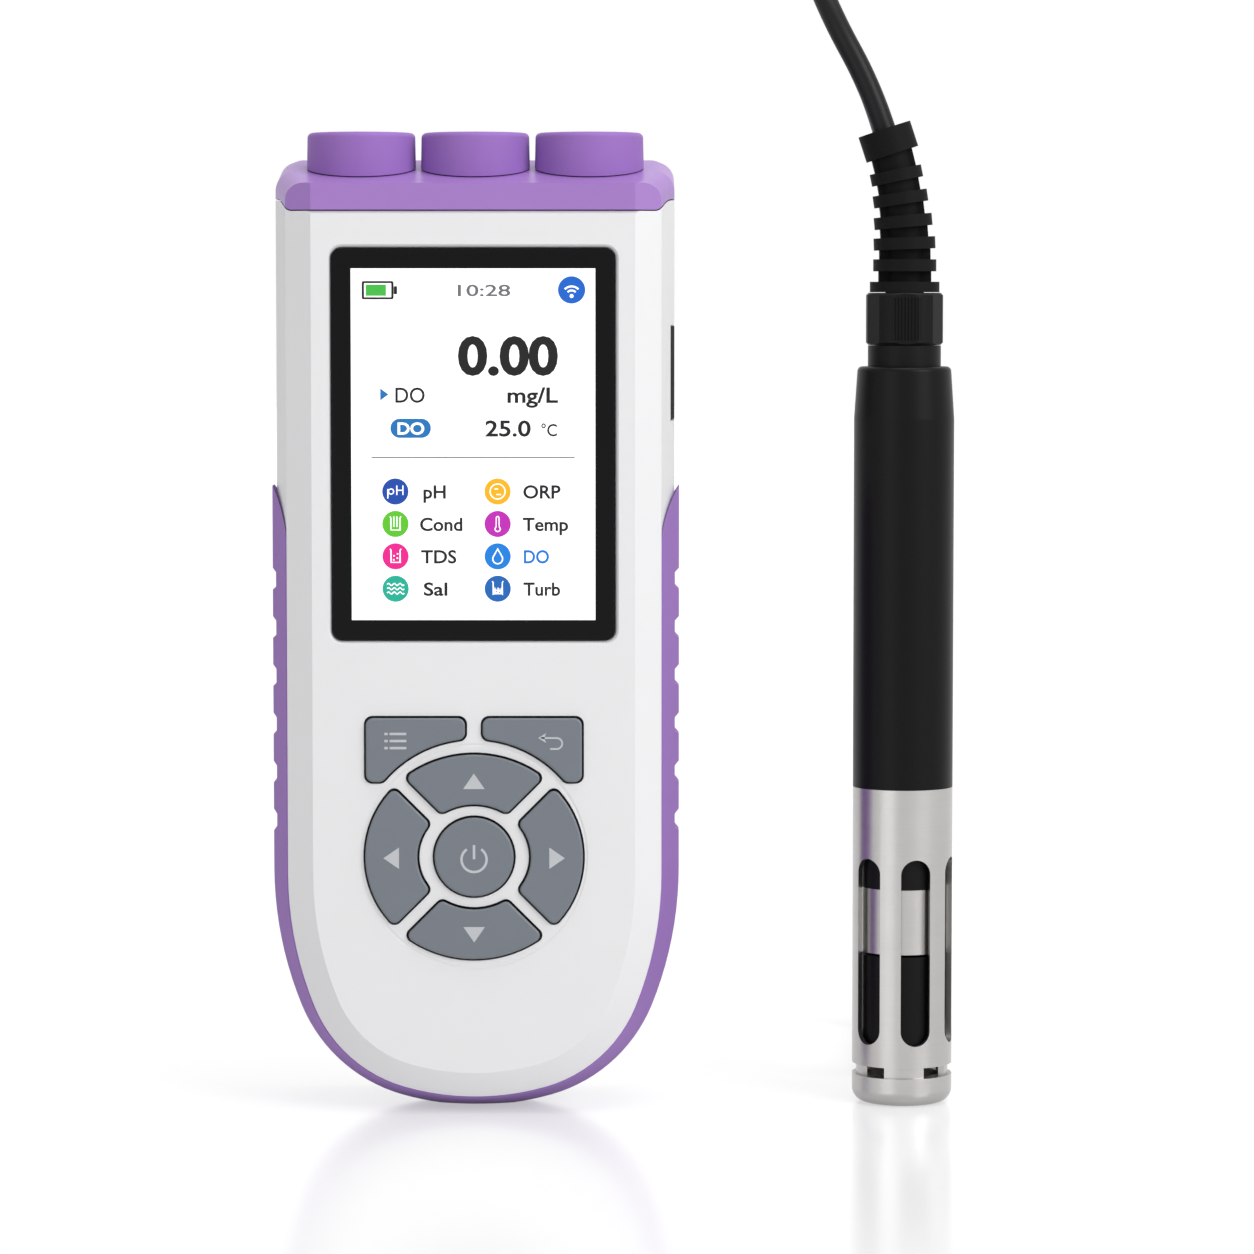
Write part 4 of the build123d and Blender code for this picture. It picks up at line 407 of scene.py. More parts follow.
@dataclass(frozen=True)
class KeyPlastic(MouldedPlastic):
    """Grey key tops, with the sides below the top painted near-black as painted shade, which shows as the
    dark line round each key.
    """

    # Painted shade: near-black colour of the key's sides below its top, so that the gap round the key reads
    # dark
    gap_shade: Colour = (0.004, 0.004, 0.004, 1.0)
    gap_shade_y: float = -18.15

    def paint(self, bench: Bench, colour: Wire) -> Wire:
        """Paint the sides below the grey top near-black, a painted shade for the gap round the key."""
        deep = bench.axes(bench.place())[1]
        # Mask of the grey top; below it the key is painted near-black as shade in the gap
        top = deep.below(self.gap_shade_y * MM, 0.04 * MM)
        return bench.mix(top, self.gap_shade, colour)


@dataclass(frozen=True)
class SoftRubber:
    """Soft moulded rubber, matt, with a velvety edge and faint handling marks."""

    name: str
    colour: Colour
    roughness: float = 0.62
    sheen: float = 0.08
    specular: float = 0.2
    texture: float = 0.28
    relief: float = 0.012

    def make(self) -> bpy.types.Material:
        """Build the material."""
        bench = Bench(self.name)
        spot = bench.place()
        pores = bench.cells(spot, self.texture)
        clouds = bench.noise(spot, 18.0, 4.0)
        marks = bench.noise(bench.place(scale=(1.0, 1.0, 0.3)), 4.0, 5.0, 0.65)
        shade = bench.shades(0.5 * clouds + 0.5 * marks, self.colour, 0.93, 1.07)
        return bench.finish({
            "Base Color": shade,
            "Roughness": self.roughness - 0.06 + 0.12 * marks,
            "Specular IOR Level": self.specular,
            "Sheen Weight": self.sheen,
            "Sheen Roughness": 0.45,
            "Sheen Tint": (0.9, 0.86, 1.0, 1.0),
            "Normal": bench.bump(pores, self.relief),
        })


class Lay(Enum):
    """The way in which the brush lines of a metal run."""

    ROUND = (0.05, 0.05, 6.0)
    ALONG = (6.0, 6.0, 0.05)


@dataclass(frozen=True)
class BrushedMetal:
    """Metal with the fine lines of its brushing and a little staining."""

    name: str
    colour: Colour
    roughness: float = 0.3
    lay: Lay = Lay.ROUND
    line: float = 0.7
    relief: float = 0.002

    def make(self) -> bpy.types.Material:
        """Build the material."""
        bench = Bench(self.name)
        lines = bench.noise(bench.place((PROBE_X, 0, 0), scale=self.lay.value), self.line, 5.0, 0.7)
        broad = bench.noise(bench.place((PROBE_X, 0, 0), scale=self.lay.value), self.line * 9, 2.0)
        stain = bench.noise(bench.place(), 9.0, 4.0)
        return bench.finish({
            "Base Color": bench.shades(0.6 * lines + 0.4 * stain, self.colour, 0.84, 1.1),
            "Metallic": 1.0,
            "Roughness": self.roughness - 0.09 + 0.12 * lines + 0.08 * broad,
            "Normal": bench.bump(lines, self.relief),
        })


@dataclass(frozen=True)
class DisplayGlass:
    """Front glass: black ink behind its edge, and the lit screen inside it."""

    name: str
    ink: Colour
    lit: Colour
    half_width: float = 24.2
    half_height: float = 34.85
    middle_z: float = 134.05
    glow: float = 0.42

    def make(self) -> bpy.types.Material:
        """Build the material."""
        bench = Bench(self.name)
        across, deep, up = bench.axes(bench.place((METER_X, 0.0, self.middle_z)))
        edge = 0.03 * MM
        inside = abs(across).below(self.half_width * MM, edge) * abs(up).below(self.half_height * MM, edge)
        lit = inside * deep.below((GLASS_Y + 0.2) * MM, 0.05 * MM)
        smear = bench.noise(bench.place(scale=(1.0, 1.0, 0.6)), 14.0, 5.0, 0.6)
        dust = bench.noise(bench.place(), 0.5, 2.0)
        pixels = bench.noise(bench.place(), 0.12, 0.0)
        face = bench.mix(lit, self.ink, bench.shades(pixels, self.lit, 0.985, 1.01))
        return bench.finish({
            "Base Color": face,
            "Roughness": 0.07 + 0.05 * smear + 0.02 * dust,
            "Specular IOR Level": 0.12,
            "Emission Color": bench.mix(lit, (0.0, 0.0, 0.0, 1.0), self.lit),
            "Emission Strength": self.glow,
            "Normal": bench.bump(smear, 0.004),
        })


@dataclass(frozen=True)
class ScreenInk:
    """One lit colour of the display's graphics, or the colours that a piece carries as its attribute."""

    name: str
    colour: Colour
    glow: float = 0.3
    attribute: str = ""

    def make(self) -> bpy.types.Material:
        """Build the material."""
        bench = Bench(self.name)
        pixels = bench.noise(bench.place(), 0.12, 0.0)
        if self.attribute:
            colour = bench.add("ShaderNodeAttribute", {"attribute_name": self.attribute}, output="Color")
        else:
            colour = bench.shades(pixels, self.colour, 0.95, 1.03)
        return bench.finish({
            "Base Color": colour,
            "Roughness": 0.12 + 0.05 * pixels,
            "Specular IOR Level": 0.35,
            "Emission Color": colour,
            "Emission Strength": self.glow,
        })


@dataclass(frozen=True)
class KeyInk:
    """Pale print on a key, thinly laid, so that the key shows through a little."""

    name: str
    colour: Colour
    under: Colour

    def make(self) -> bpy.types.Material:
        """Build the material."""
        bench = Bench(self.name)
        film = bench.noise(bench.place(), 0.25, 4.0, 0.6)
        worn = bench.noise(bench.place(), 2.4, 3.0)
        return bench.finish({
            "Base Color": bench.mix(0.12 * film + 0.1 * worn, self.colour, self.under),
            "Roughness": 0.42 + 0.1 * film,
            "Normal": bench.bump(film, 0.004),
        })


@dataclass(frozen=True)
class CordJacket:
    """Smooth black jacket with a fine grain and a slight bloom."""

    name: str
    colour: Colour

    def make(self) -> bpy.types.Material:
        """Build the material."""
        bench = Bench(self.name)
        spot = bench.place()
        bloom = bench.noise(spot, 12.0, 4.0)
        skin = bench.noise(spot, 0.5, 3.0)
        return bench.finish({
            "Base Color": bench.shades(bloom, self.colour, 0.75, 1.35),
            "Roughness": 0.34 + 0.1 * bloom + 0.05 * skin,
            "Specular IOR Level": 0.2,
            "Normal": bench.bump(skin, 0.006),
        })


@dataclass(frozen=True)
class CircuitBoard:
    """Green solder mask over copper tracks, seen when the case is open."""

    name: str
    colour: Colour
    copper: Colour

    def make(self) -> bpy.types.Material:
        """Build the material."""
        bench = Bench(self.name)
        spot = bench.place()
        tracks = bench.add(
            "ShaderNodeTexBrick",
            {"offset": 0.5},
            {
                "Vector": bench.place(turn=(90.0, 0.0, 0.0)), "Color1": (0.0, 0.0, 0.0, 1.0),
                "Color2": (0.0, 0.0, 0.0, 1.0), "Mortar": (1.0, 1.0, 1.0, 1.0), "Scale": 160.0,
                "Mortar Size": 0.02,
            },
            "Fac",
        )
        weave = bench.noise(spot, 0.4, 3.0)
        mask = bench.shades(weave, self.colour, 0.85, 1.15)
        return bench.finish({
            "Base Color": bench.mix(0.55 * tracks, mask, self.copper),
            "Roughness": 0.32 + 0.12 * weave,
            "Normal": bench.bump(tracks, 0.03),
        })


@dataclass(frozen=True)
class SensingFoil:
    """Dull red foil of the optical sensor, slightly uneven."""

    name: str
    colour: Colour

    def make(self) -> bpy.types.Material:
        """Build the material."""
        bench = Bench(self.name)
        spot = bench.place()
        flow = bench.noise(spot, 1.6, 4.0)
        specks = bench.cells(spot, 0.3)
        return bench.finish({
            "Base Color": bench.shades(0.6 * flow + 0.4 * specks, self.colour, 0.75, 1.2),
            "Roughness": 0.5 + 0.2 * flow,
            "Normal": bench.bump(specks, 0.01),
        })


GREY = tint(113, 119, 127)

FINISHES = {
    "white_shell": FrontShellPlastic("case_white_plastic", tint(230, 230, 231), 0.42, clouds=0.012),
    "purple_rubber": SoftRubber("grip_purple_rubber", tint(152, 110, 186)),
    "purple_plastic": MouldedPlastic("cover_purple_plastic", tint(160, 118, 192), 0.34, relief=0.004),
    "dark_rubber": SoftRubber("seal_black_rubber", tint(15, 15, 16), sheen=0.0, specular=0.1),
    "key_grey": KeyPlastic("key_grey_plastic", GREY, 0.4, texture=0.22, relief=0.005),
    "display_glass": DisplayGlass("display_front_glass", tint(8, 8, 9), tint(250, 251, 253)),
    "display_panel": MouldedPlastic("display_panel_film", tint(225, 228, 232), 0.2, relief=0.001),
    "black_plastic": MouldedPlastic("inner_black_plastic", tint(13, 13, 14), 0.42, specular=0.12),
    "probe_black": MouldedPlastic("probe_black_plastic", tint(11, 11, 12), 0.36, relief=0.003, specular=0.12),
    "probe_steel": BrushedMetal("guard_brushed_steel", tint(184, 182, 180), 0.3),
    "socket_metal": BrushedMetal("socket_turned_metal", tint(190, 190, 192), 0.3),
    "shield_metal": BrushedMetal("shield_tinned_metal", tint(196, 196, 194), 0.38, Lay.ALONG),
    "screw_steel": BrushedMetal("screw_plain_steel", tint(186, 186, 186), 0.32),
    "contact_gold": BrushedMetal("contact_gold_plate", tint(222, 188, 108), 0.25),
    "board_green": CircuitBoard("board_green_mask", tint(22, 92, 48), tint(180, 120, 70)),
    "battery_wrap": MouldedPlastic("battery_wrap_film", tint(44, 62, 108), 0.3, coat=0.4),
    "sensing_disc": SensingFoil("sensor_red_foil", tint(150, 60, 50)),
    "cord_jacket": CordJacket("lead_black_jacket", tint(14, 14, 15)),
}


class Finishes:
    """The record's material slots, each made once and given to the nodes that use it."""

    def __init__(self) -> None:
        """Make every finish."""
        self.made = {slot: finish.make() for slot, finish in FINISHES.items()}

    def dress(self) -> int:
        """Give each node of the model its finish.

        Returns:
            How many nodes were dressed.
        """
        for row in frame["record"]["subparts"]:
            node = frame["nodes"][row["node"]]
            finish = self.made[row["material_slot"]]
            if not node.material_slots:
                node.data.materials.append(finish)
            for place in node.material_slots:
                place.material = finish
        return len(frame["record"]["subparts"])


class Pen:
    """Closed outlines in the plane of the meter's face, as across and up in millimetres."""

    @staticmethod
    def box(left: float, low: float, right: float, high: float, corner: float = 0.0) -> list[Point2]:
        """A rectangle.

        Args:
            left: Its left side.
            low: Its lower side.
            right: Its right side.
            high: Its upper side.
            corner: Radius of its corners, if they are round.

        Returns:
            Its outline.
        """
        if not corner:
            return [(left, low), (right, low), (right, high), (left, high)]
        middles = ((right - corner, high - corner), (left + corner, high - corner))
        middles += ((left + corner, low + corner), (right - corner, low + corner))
        points = []
        for quarter, (x, z) in enumerate(middles):
            points += Pen.arc(x, z, corner, 90 * quarter, 90 * quarter + 90, 8)
        return points

    @staticmethod
    def arc(x: float, z: float, radius: float, start: float, end: float, steps: int = 24) -> list[Point2]:
        """Points of an arc.

        Args:
            x: Its centre, across.
            z: Its centre, up.
            radius: Its radius.
            start: Angle of its first point, in degrees.
            end: Angle of its last point, in degrees.
            steps: Number of its straight pieces.

        Returns:
            Its points, in order.
        """
        turns = [math.radians(start + (end - start) * step / steps) for step in range(steps + 1)]
        return [(x + radius * math.cos(turn), z + radius * math.sin(turn)) for turn in turns]

    @staticmethod
    def disc(x: float, z: float, radius: float) -> list[Point2]:
        """A round spot."""
        return Pen.arc(x, z, radius, 0, 360, 40)[:-1]

    @staticmethod
    def stroke(points: list[Point2], width: float) -> list[Point2]:
        """A line of even width through points.

        Args:
            points: Where the line goes.
            width: Width of the line.

        Returns:
            Its outline.
        """
        left, right = [], []
        for index, point in enumerate(points):
            before = Vector(points[max(index - 1, 0)])
            after = Vector(points[min(index + 1, len(points) - 1)])
            run = (after - before).normalized()
            side = Vector((-run.y, run.x)) * width / 2
            if 0 < index < len(points) - 1:
                first = (Vector(point) - before).normalized()
                side /= max(run.dot(first), 0.5)
            left.append((point[0] + side.x, point[1] + side.y))
            right.append((point[0] - side.x, point[1] - side.y))
        return left + right[::-1]


class Layer:
    """Thin flat pieces that lie on the front of the glass or on the face of a key."""

    def __init__(self, surface_y: float, thickness: float = 0.04) -> None:
        """Hold the plane that the pieces lie on.

        Args:
            surface_y: Where the surface is, in millimetres.
            thickness: Thickness of a piece, in millimetres.
        """
        self.surface_y = surface_y
        self.thickness = thickness

    def _lay(self, curve: bpy.types.Curve, name: str, fit: Matrix) -> bpy.types.Mesh:
        """Turn a flat curve into a mesh that stands in the meter's face.

        Args:
            curve: The curve, drawn flat.
            name: Name of the mesh.
            fit: Scale and shift in the flat drawing, in millimetres.

        Returns:
            The mesh, in metres, in its place.
        """
        holder = bpy.data.objects.new(name + "_drawing", curve)
        bpy.context.scene.collection.objects.link(holder)
        shape = bpy.data.meshes.new_from_object(holder.evaluated_get(bpy.context.evaluated_depsgraph_get()))
        bpy.data.objects.remove(holder)
        bpy.data.curves.remove(curve)
        shape.name = name
        shape.transform(fit)
        stand = Matrix.Rotation(math.radians(90), 4, "X")
        shift = Matrix.Translation((METER_X, self.surface_y - self.thickness / 2, 0))
        shape.transform(Matrix.Scale(MM, 4) @ shift @ stand)
        return shape

    def shapes(self, name: str, outlines: list[list[Point2]]) -> bpy.types.Mesh:
        """A piece with the given outlines, in which an outline within another is a hole.

        Args:
            name: Name of the piece.
            outlines: Its closed outlines.

        Returns:
            The mesh.
        """
        curve = bpy.data.curves.new(name, "CURVE")
        curve.dimensions = "2D"
        curve.fill_mode = "BOTH"
        curve.extrude = self.thickness / 2
        for outline in outlines:
            spline = curve.splines.new("POLY")
            spline.points.add(len(outline) - 1)
            for place, (x, z) in zip(spline.points, outline):
                place.co = (x, z, 0.0, 1.0)
            spline.use_cyclic_u = True
        return self._lay(curve, name, Matrix.Identity(4))

    def words(self, name: str, body: str, left: float, right: float, base: float, cap: float,
              weight: float = 0.0) -> bpy.types.Mesh:
        """Plain lettering set to a width and a height of capitals.

        Args:
            name: Name of the piece.
            body: The letters.
            left: Where they start.
            right: Where they end.
            base: The line that they stand on.
            cap: Height of a capital.
            weight: How much bolder than plain, as a share of the height.

        Returns:
            The mesh.
        """
        curve = bpy.data.curves.new(name, "FONT")
        curve.body = body
        curve.size = 1.0
        curve.offset = weight
        curve.resolution_u = 4
        probe = bpy.data.objects.new(name + "_measure", curve)
        bpy.context.scene.collection.objects.link(probe)
        bpy.context.view_layer.update()
        across = [corner[0] for corner in probe.bound_box]
        bpy.data.objects.remove(probe)
        stretch = (right - left) / (max(across) - min(across))
        height = cap / CAPITAL_SHARE
        fit = Matrix.Translation((left - min(across) * stretch, base, 0))
        fit = fit @ Matrix.Diagonal((stretch, height, 1.0, 1.0))
        curve.extrude = self.thickness / 2
        return self._lay(curve, name, fit)


def place_piece(
    name: str, mesh: bpy.types.Mesh, finish: bpy.types.Material, body: str
) -> bpy.types.Object:
    """Put a finished mesh into the scene as a piece.

    Args:
        name: Name of the piece.
        mesh: Its mesh, in place.
        finish: Its material.
        body: The body that it rides on.

    Returns:
        The piece.
    """
    piece = bpy.data.objects.new(name, mesh)
    bpy.context.scene.collection.objects.link(piece)
    mesh.materials.clear()
    mesh.materials.append(finish)
    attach(piece, body)
    log.info("%s: %d faces on %s", name, len(mesh.polygons), body)
    return piece


class Quantity(Enum):
    """What the meter can show: its label, and where the label starts and ends."""

    PH = ("pH", -9.9, -5.48)
    COND = ("Cond", -10.6, -2.2)
    TDS = ("TDS", -10.4, -3.4)
    SAL = ("Sal", -9.9, -5.2)
    ORP = ("ORP", 9.9, 17.3)
    TEMP = ("Temp", 9.8, 18.8)
    DO = ("DO", 10.0, 15.0)
    TURB = ("Turb", 9.9, 17.2)


@dataclass
class IconDots:
    """The coloured dots beside the labels, made by one node tree."""

    columns: int = 2
    rows: int = 4
    left: float = -15.48
    low: float = 105.44
    pitch_across: float = 20.28
    pitch_up: float = 6.44
    radius: float = 2.6
    thickness: float = 0.03
    colours: tuple[Colour, ...] = (
        tint(15, 160, 135), tint(215, 20, 130), tint(85, 180, 35), tint(10, 65, 155),
        tint(10, 90, 165), tint(5, 115, 200), tint(175, 30, 165), tint(255, 165, 15),
    )

    def tree(self, finish: bpy.types.Material) -> bpy.types.NodeTree:
        """Build the node tree: a grid of dots, each with its own colour.

        Args:
            finish: The dots' material.

        Returns:
            The tree.
        """
        tree = bpy.data.node_groups.new("icon_dots", "GeometryNodeTree")
        tree.interface.new_socket("Geometry", in_out="INPUT", socket_type="NodeSocketGeometry")
        for name in ("Pitch Across", "Pitch Up", "Radius", "Thickness"):
            tree.interface.new_socket(name, in_out="INPUT", socket_type="NodeSocketFloat")
        tree.interface.new_socket("Corner", in_out="INPUT", socket_type="NodeSocketVector")
        tree.interface.new_socket("Geometry", in_out="OUTPUT", socket_type="NodeSocketGeometry")
        nodes, links = tree.nodes, tree.links
        given = nodes.new("NodeGroupInput")
        result = nodes.new("NodeGroupOutput")
        grid = nodes.new("GeometryNodeMeshGrid")
        grid.inputs["Vertices X"].default_value = self.columns
        grid.inputs["Vertices Y"].default_value = self.rows
        spans = (("Size X", "Pitch Across", self.columns), ("Size Y", "Pitch Up", self.rows))
        for socket, name, count in spans:
            span = nodes.new("ShaderNodeMath")
            span.operation = "MULTIPLY"
            span.inputs[1].default_value = count - 1
            links.new(given.outputs[name], span.inputs[0])
            links.new(span.outputs[0], grid.inputs[socket])
        dot = nodes.new("GeometryNodeMeshCylinder")
        dot.fill_type = "NGON"
        dot.inputs["Vertices"].default_value = 56
        links.new(given.outputs["Radius"], dot.inputs["Radius"])
        links.new(given.outputs["Thickness"], dot.inputs["Depth"])
        spread = nodes.new("GeometryNodeInstanceOnPoints")
        links.new(grid.outputs["Mesh"], spread.inputs["Points"])
        links.new(dot.outputs["Mesh"], spread.inputs["Instance"])
        pick = nodes.new("GeometryNodeIndexSwitch")
        pick.data_type = "RGBA"
        while len(pick.index_switch_items) < len(self.colours):
            pick.index_switch_items.new()
        for number, colour in enumerate(self.colours):
            pick.inputs[number + 1].default_value = colour
        index = nodes.new("GeometryNodeInputIndex")
        links.new(index.outputs[0], pick.inputs["Index"])
        store = nodes.new("GeometryNodeStoreNamedAttribute")
        store.data_type = "FLOAT_COLOR"
        store.domain = "INSTANCE"
        store.inputs["Name"].default_value = "tint"
        links.new(spread.outputs["Instances"], store.inputs["Geometry"])
        links.new(pick.outputs[0], store.inputs["Value"])
        real = nodes.new("GeometryNodeRealizeInstances")
        links.new(store.outputs["Geometry"], real.inputs["Geometry"])
        stand = nodes.new("GeometryNodeTransform")
        stand.inputs["Rotation"].default_value = (math.radians(90), 0.0, 0.0)
        links.new(real.outputs["Geometry"], stand.inputs["Geometry"])
        links.new(given.outputs["Corner"], stand.inputs["Translation"])
        paint = nodes.new("GeometryNodeSetMaterial")
        paint.inputs["Material"].default_value = finish
        links.new(stand.outputs["Geometry"], paint.inputs["Geometry"])
        links.new(paint.outputs["Geometry"], result.inputs["Geometry"])
        return tree

    def build(self, finish: bpy.types.Material, surface_y: float) -> bpy.types.Mesh:
        """Run the tree once and keep its plain mesh.

        Args:
            finish: The dots' material.
            surface_y: The surface that the dots lie on, in millimetres.

        Returns:
            The mesh of all the dots.
        """
        holder = bpy.data.objects.new("icon_dots_maker", bpy.data.meshes.new("icon_dots_maker"))
        bpy.context.scene.collection.objects.link(holder)
        maker = holder.modifiers.new("icon_dots", "NODES")
        maker.node_group = self.tree(finish)
        corner = (
            (METER_X + self.left + self.pitch_across * (self.columns - 1) / 2) * MM,
            (surface_y - self.thickness / 2) * MM,
            (self.low + self.pitch_up * (self.rows - 1) / 2) * MM,
        )
        sizes = {
            "Pitch Across": self.pitch_across * MM, "Pitch Up": self.pitch_up * MM,
            "Radius": self.radius * MM, "Thickness": self.thickness * MM, "Corner": corner,
        }
        for item in maker.node_group.interface.items_tree:
            if item.in_out == "INPUT" and item.name in sizes:
                maker[item.identifier] = sizes[item.name]
        shape = bpy.data.meshes.new_from_object(holder.evaluated_get(bpy.context.evaluated_depsgraph_get()))
        bpy.data.objects.remove(holder)
        shape.name = "icon_dots"
        return shape


@dataclass(frozen=True)
class Lettering:
    """Words of the display: their ends, the line that they stand on, their capitals, weight and ink."""

    body: str
    left: float
    right: float
    base: float
    cap: float
    weight: float
    ink: str = "ink"


WORDS = {
    "time": Lettering("10:28", -3.0, 7.4, base=163.45, cap=2.35, weight=0.012, ink="pale"),
    "reading": Lettering("0.00", -3.0, 16.8, base=148.1, cap=7.5, weight=0.034),
    "do": Lettering("DO", -15.4, -9.6, base=142.4, cap=3.1, weight=0.01),
    "unit": Lettering("mg/L", 6.8, 16.8, base=142.4, cap=3.1, weight=0.02),
    "pill_do": Lettering("DO", -15.0, -9.7, base=136.12, cap=2.4, weight=0.024, ink="white"),
    "degrees": Lettering("25.0", 2.4, 11.4, base=135.75, cap=3.2, weight=0.02),
    "celsius": Lettering("°C", 13.5, 16.6, base=135.75, cap=2.5, weight=0.012),
}


@dataclass
class Screen:
    """The graphics that the display shows: status row, reading, unit rows and the grid of quantities."""

    ink: Colour = tint(12, 12, 14)
    pale_ink: Colour = tint(110, 110, 114)
    white: Colour = tint(255, 255, 255)
    green: Colour = tint(60, 170, 60)
    blue: Colour = tint(20, 105, 170)
    radio_blue: Colour = tint(10, 90, 185)
    link_blue: Colour = tint(10, 110, 195)
    label_drop: float = 1.34
    label_cap: float = 2.68
    label_weight: float = 0.02
    battery_case: tuple[float, ...] = (-22.0, 162.8, -15.7, 166.4, 0.35)
    battery_inside: tuple[float, ...] = (-21.55, 163.2, -16.15, 166.0, 0.12)
    battery_tip: tuple[float, ...] = (-15.65, 163.8, -15.0, 165.4, 0.2)
    battery_charge: tuple[float, ...] = (-21.2, 163.5, -17.2, 165.7, 0.1)
    radio_x: float = 19.52
    radio_z: float = 164.66
    radio_radius: float = 2.7
    wave_z: float = 163.45
    wave_radii: tuple[float, ...] = (1.1, 1.9)
    wave_width: float = 0.36
    wave_source: float = 0.38
    arrow: tuple[Point2, ...] = ((-18.4, 145.2), (-18.4, 142.8), (-16.8, 144.0))
    pill: tuple[float, ...] = (-16.4, 135.4, -8.4, 139.2, 1.85)
    rule: tuple[float, ...] = (-20.2, 131.4, 20.1, 131.64)

    def build(self) -> None:
        """Build the graphics and lay them on the glass."""
        self.sheet = Layer(GLASS_Y)
        self.top = Layer(GLASS_Y - 0.03, 0.04)
        self.inks = {
            "ink": ScreenInk("screen_black_ink", self.ink, 0.0).make(),
            "pale": ScreenInk("screen_grey_ink", self.pale_ink, 0.1).make(),
            "white": ScreenInk("screen_white_ink", self.white, 0.42).make(),
            "green": ScreenInk("screen_green_ink", self.green).make(),
            "blue": ScreenInk("screen_blue_ink", self.blue).make(),
            "radio": ScreenInk("screen_radio_ink", self.radio_blue).make(),
            "link": ScreenInk("screen_link_ink", self.link_blue).make(),
            "dots": ScreenInk("screen_dot_inks", self.blue, attribute="tint").make(),
        }
        self._status_row()
        self._reading()
        self._grid()

    def _put(self, name: str, mesh: bpy.types.Mesh, ink: str) -> None:
        """Place one graphic on the glass."""
        place_piece(name, mesh, self.inks[ink], "meter")

    def _write(self, name: str, layer: Layer) -> None:
        """Set one of the display's words.

        Args:
            name: Its name in the table of words.
            layer: What it lies on.
        """
        words = WORDS[name]
        mesh = layer.words(name, words.body, words.left, words.right, words.base, words.cap, words.weight)
        self._put("screen_" + name, mesh, words.ink)

    def _draw(self, name: str, outlines: list[list[Point2]], ink: str) -> None:
        """Draw one flat shape on the glass.

        Args:
            name: Its name.
            outlines: Its outlines.
            ink: Its ink.
        """
        self._put("screen_" + name, self.sheet.shapes(name, outlines), ink)

    def _status_row(self) -> None:
        """Battery, time and radio sign."""
        self._draw("battery_case", [Pen.box(*self.battery_case), Pen.box(*self.battery_inside)], "ink")
        self._draw("battery_tip", [Pen.box(*self.battery_tip)], "ink")
        self._draw("battery_charge", [Pen.box(*self.battery_charge)], "green")
        self._write("time", self.sheet)
        self._draw("radio_disc", [Pen.disc(self.radio_x, self.radio_z, self.radio_radius)], "radio")
        waves = [Pen.disc(self.radio_x, self.wave_z, self.wave_source)]
        for radius in self.wave_radii:
            arc = Pen.arc(self.radio_x, self.wave_z, radius, 45, 135, 12)
            waves.append(Pen.stroke(arc, self.wave_width))
        self._put("screen_radio_waves", self.top.shapes("radio_waves", waves), "white")

    def _reading(self) -> None:
        """The oxygen reading, its unit and the temperature."""
        self._write("reading", self.sheet)
        self._draw("arrow", [list(self.arrow)], "blue")
        self._write("do", self.sheet)
        self._write("unit", self.sheet)
        self._draw("pill", [Pen.box(*self.pill)], "blue")
        self._write("pill_do", self.top)
        self._write("degrees", self.sheet)
        self._write("celsius", self.sheet)
        self._draw("rule", [Pen.box(*self.rule)], "pale")

    def _grid(self) -> None:
        """The eight quantities, each with a dot, a sign and a label."""
        dots = IconDots()
        self._put("screen_dots", dots.build(self.inks["dots"], GLASS_Y), "dots")
        for number, quantity in enumerate(Quantity):
            body, left, right = quantity.value
            column, row = divmod(number, dots.rows)
            z = dots.low + dots.pitch_up * (dots.rows - 1 - row)
            x = dots.left + dots.pitch_across * column
            base = z - self.label_drop
            mesh = self.sheet.words("label", body, left, right, base, self.label_cap, self.label_weight)
            self._put("screen_label_" + body, mesh, "link" if quantity is Quantity.DO else "ink")
            sign = self.top.shapes("sign", self._sign(quantity, x, z))
            self._put("screen_sign_" + body, sign, "white")

    @staticmethod
    def _sign(quantity: Quantity, x: float, z: float) -> list[list[Point2]]:
        """The small plain sign on a dot.

        Args:
            quantity: Which sign.
            x: Middle of the dot.
            z: Middle of the dot.

        Returns:
            Its outlines.
        """
        line = 0.22
        waves = []
        for rise in (-0.85, 0.0, 0.85):
            points = [(x - 1.7 + 0.2 * step, z + rise + 0.22 * math.sin(step * 1.1)) for step in range(18)]
            waves.append(Pen.stroke(points, line))
        beaker = [
            Pen.stroke([(x - 1.1, z + 1.5), (x - 0.9, z + 1.2), (x - 0.9, z - 1.2), (x + 0.9, z - 1.2),
                        (x + 0.9, z + 1.2), (x + 1.1, z + 1.5)], line),
        ]
        drop = Pen.arc(x, z - 0.5, 1.1, -215, 35, 20) + [(x, z + 1.7)]
        inner = Pen.arc(x, z - 0.5, 0.85, -215, 35, 20) + [(x, z + 1.25)]
        match quantity:
            case Quantity.PH:
                first = Pen.stroke([(x - 1.5, z - 1.4), (x - 1.5, z + 0.5)], line)
                ring = [Pen.disc(x - 0.85, z, 0.62), Pen.disc(x - 0.85, z, 0.4)]
                second = Pen.stroke([(x + 0.3, z - 0.7), (x + 0.3, z + 1.2)], line)
                third = Pen.stroke([(x + 1.5, z - 0.7), (x + 1.5, z + 1.2)], line)
                bridge = Pen.stroke([(x + 0.42, z + 0.25), (x + 1.38, z + 0.25)], line)
                return [first, second, third, bridge, *ring]
            case Quantity.COND:
                return beaker + [Pen.stroke([(x - 0.3, z + 1.5), (x - 0.3, z - 0.6)], line),
                                 Pen.stroke([(x + 0.3, z + 1.5), (x + 0.3, z - 0.6)], line)]
            case Quantity.TDS:
                spots = ((-0.35, -0.7), (0.35, -0.35), (-0.3, 0.1), (0.4, 0.5))
                return beaker + [Pen.disc(x + across, z + up, 0.17) for across, up in spots]
            case Quantity.SAL:
                return waves
            case Quantity.ORP:
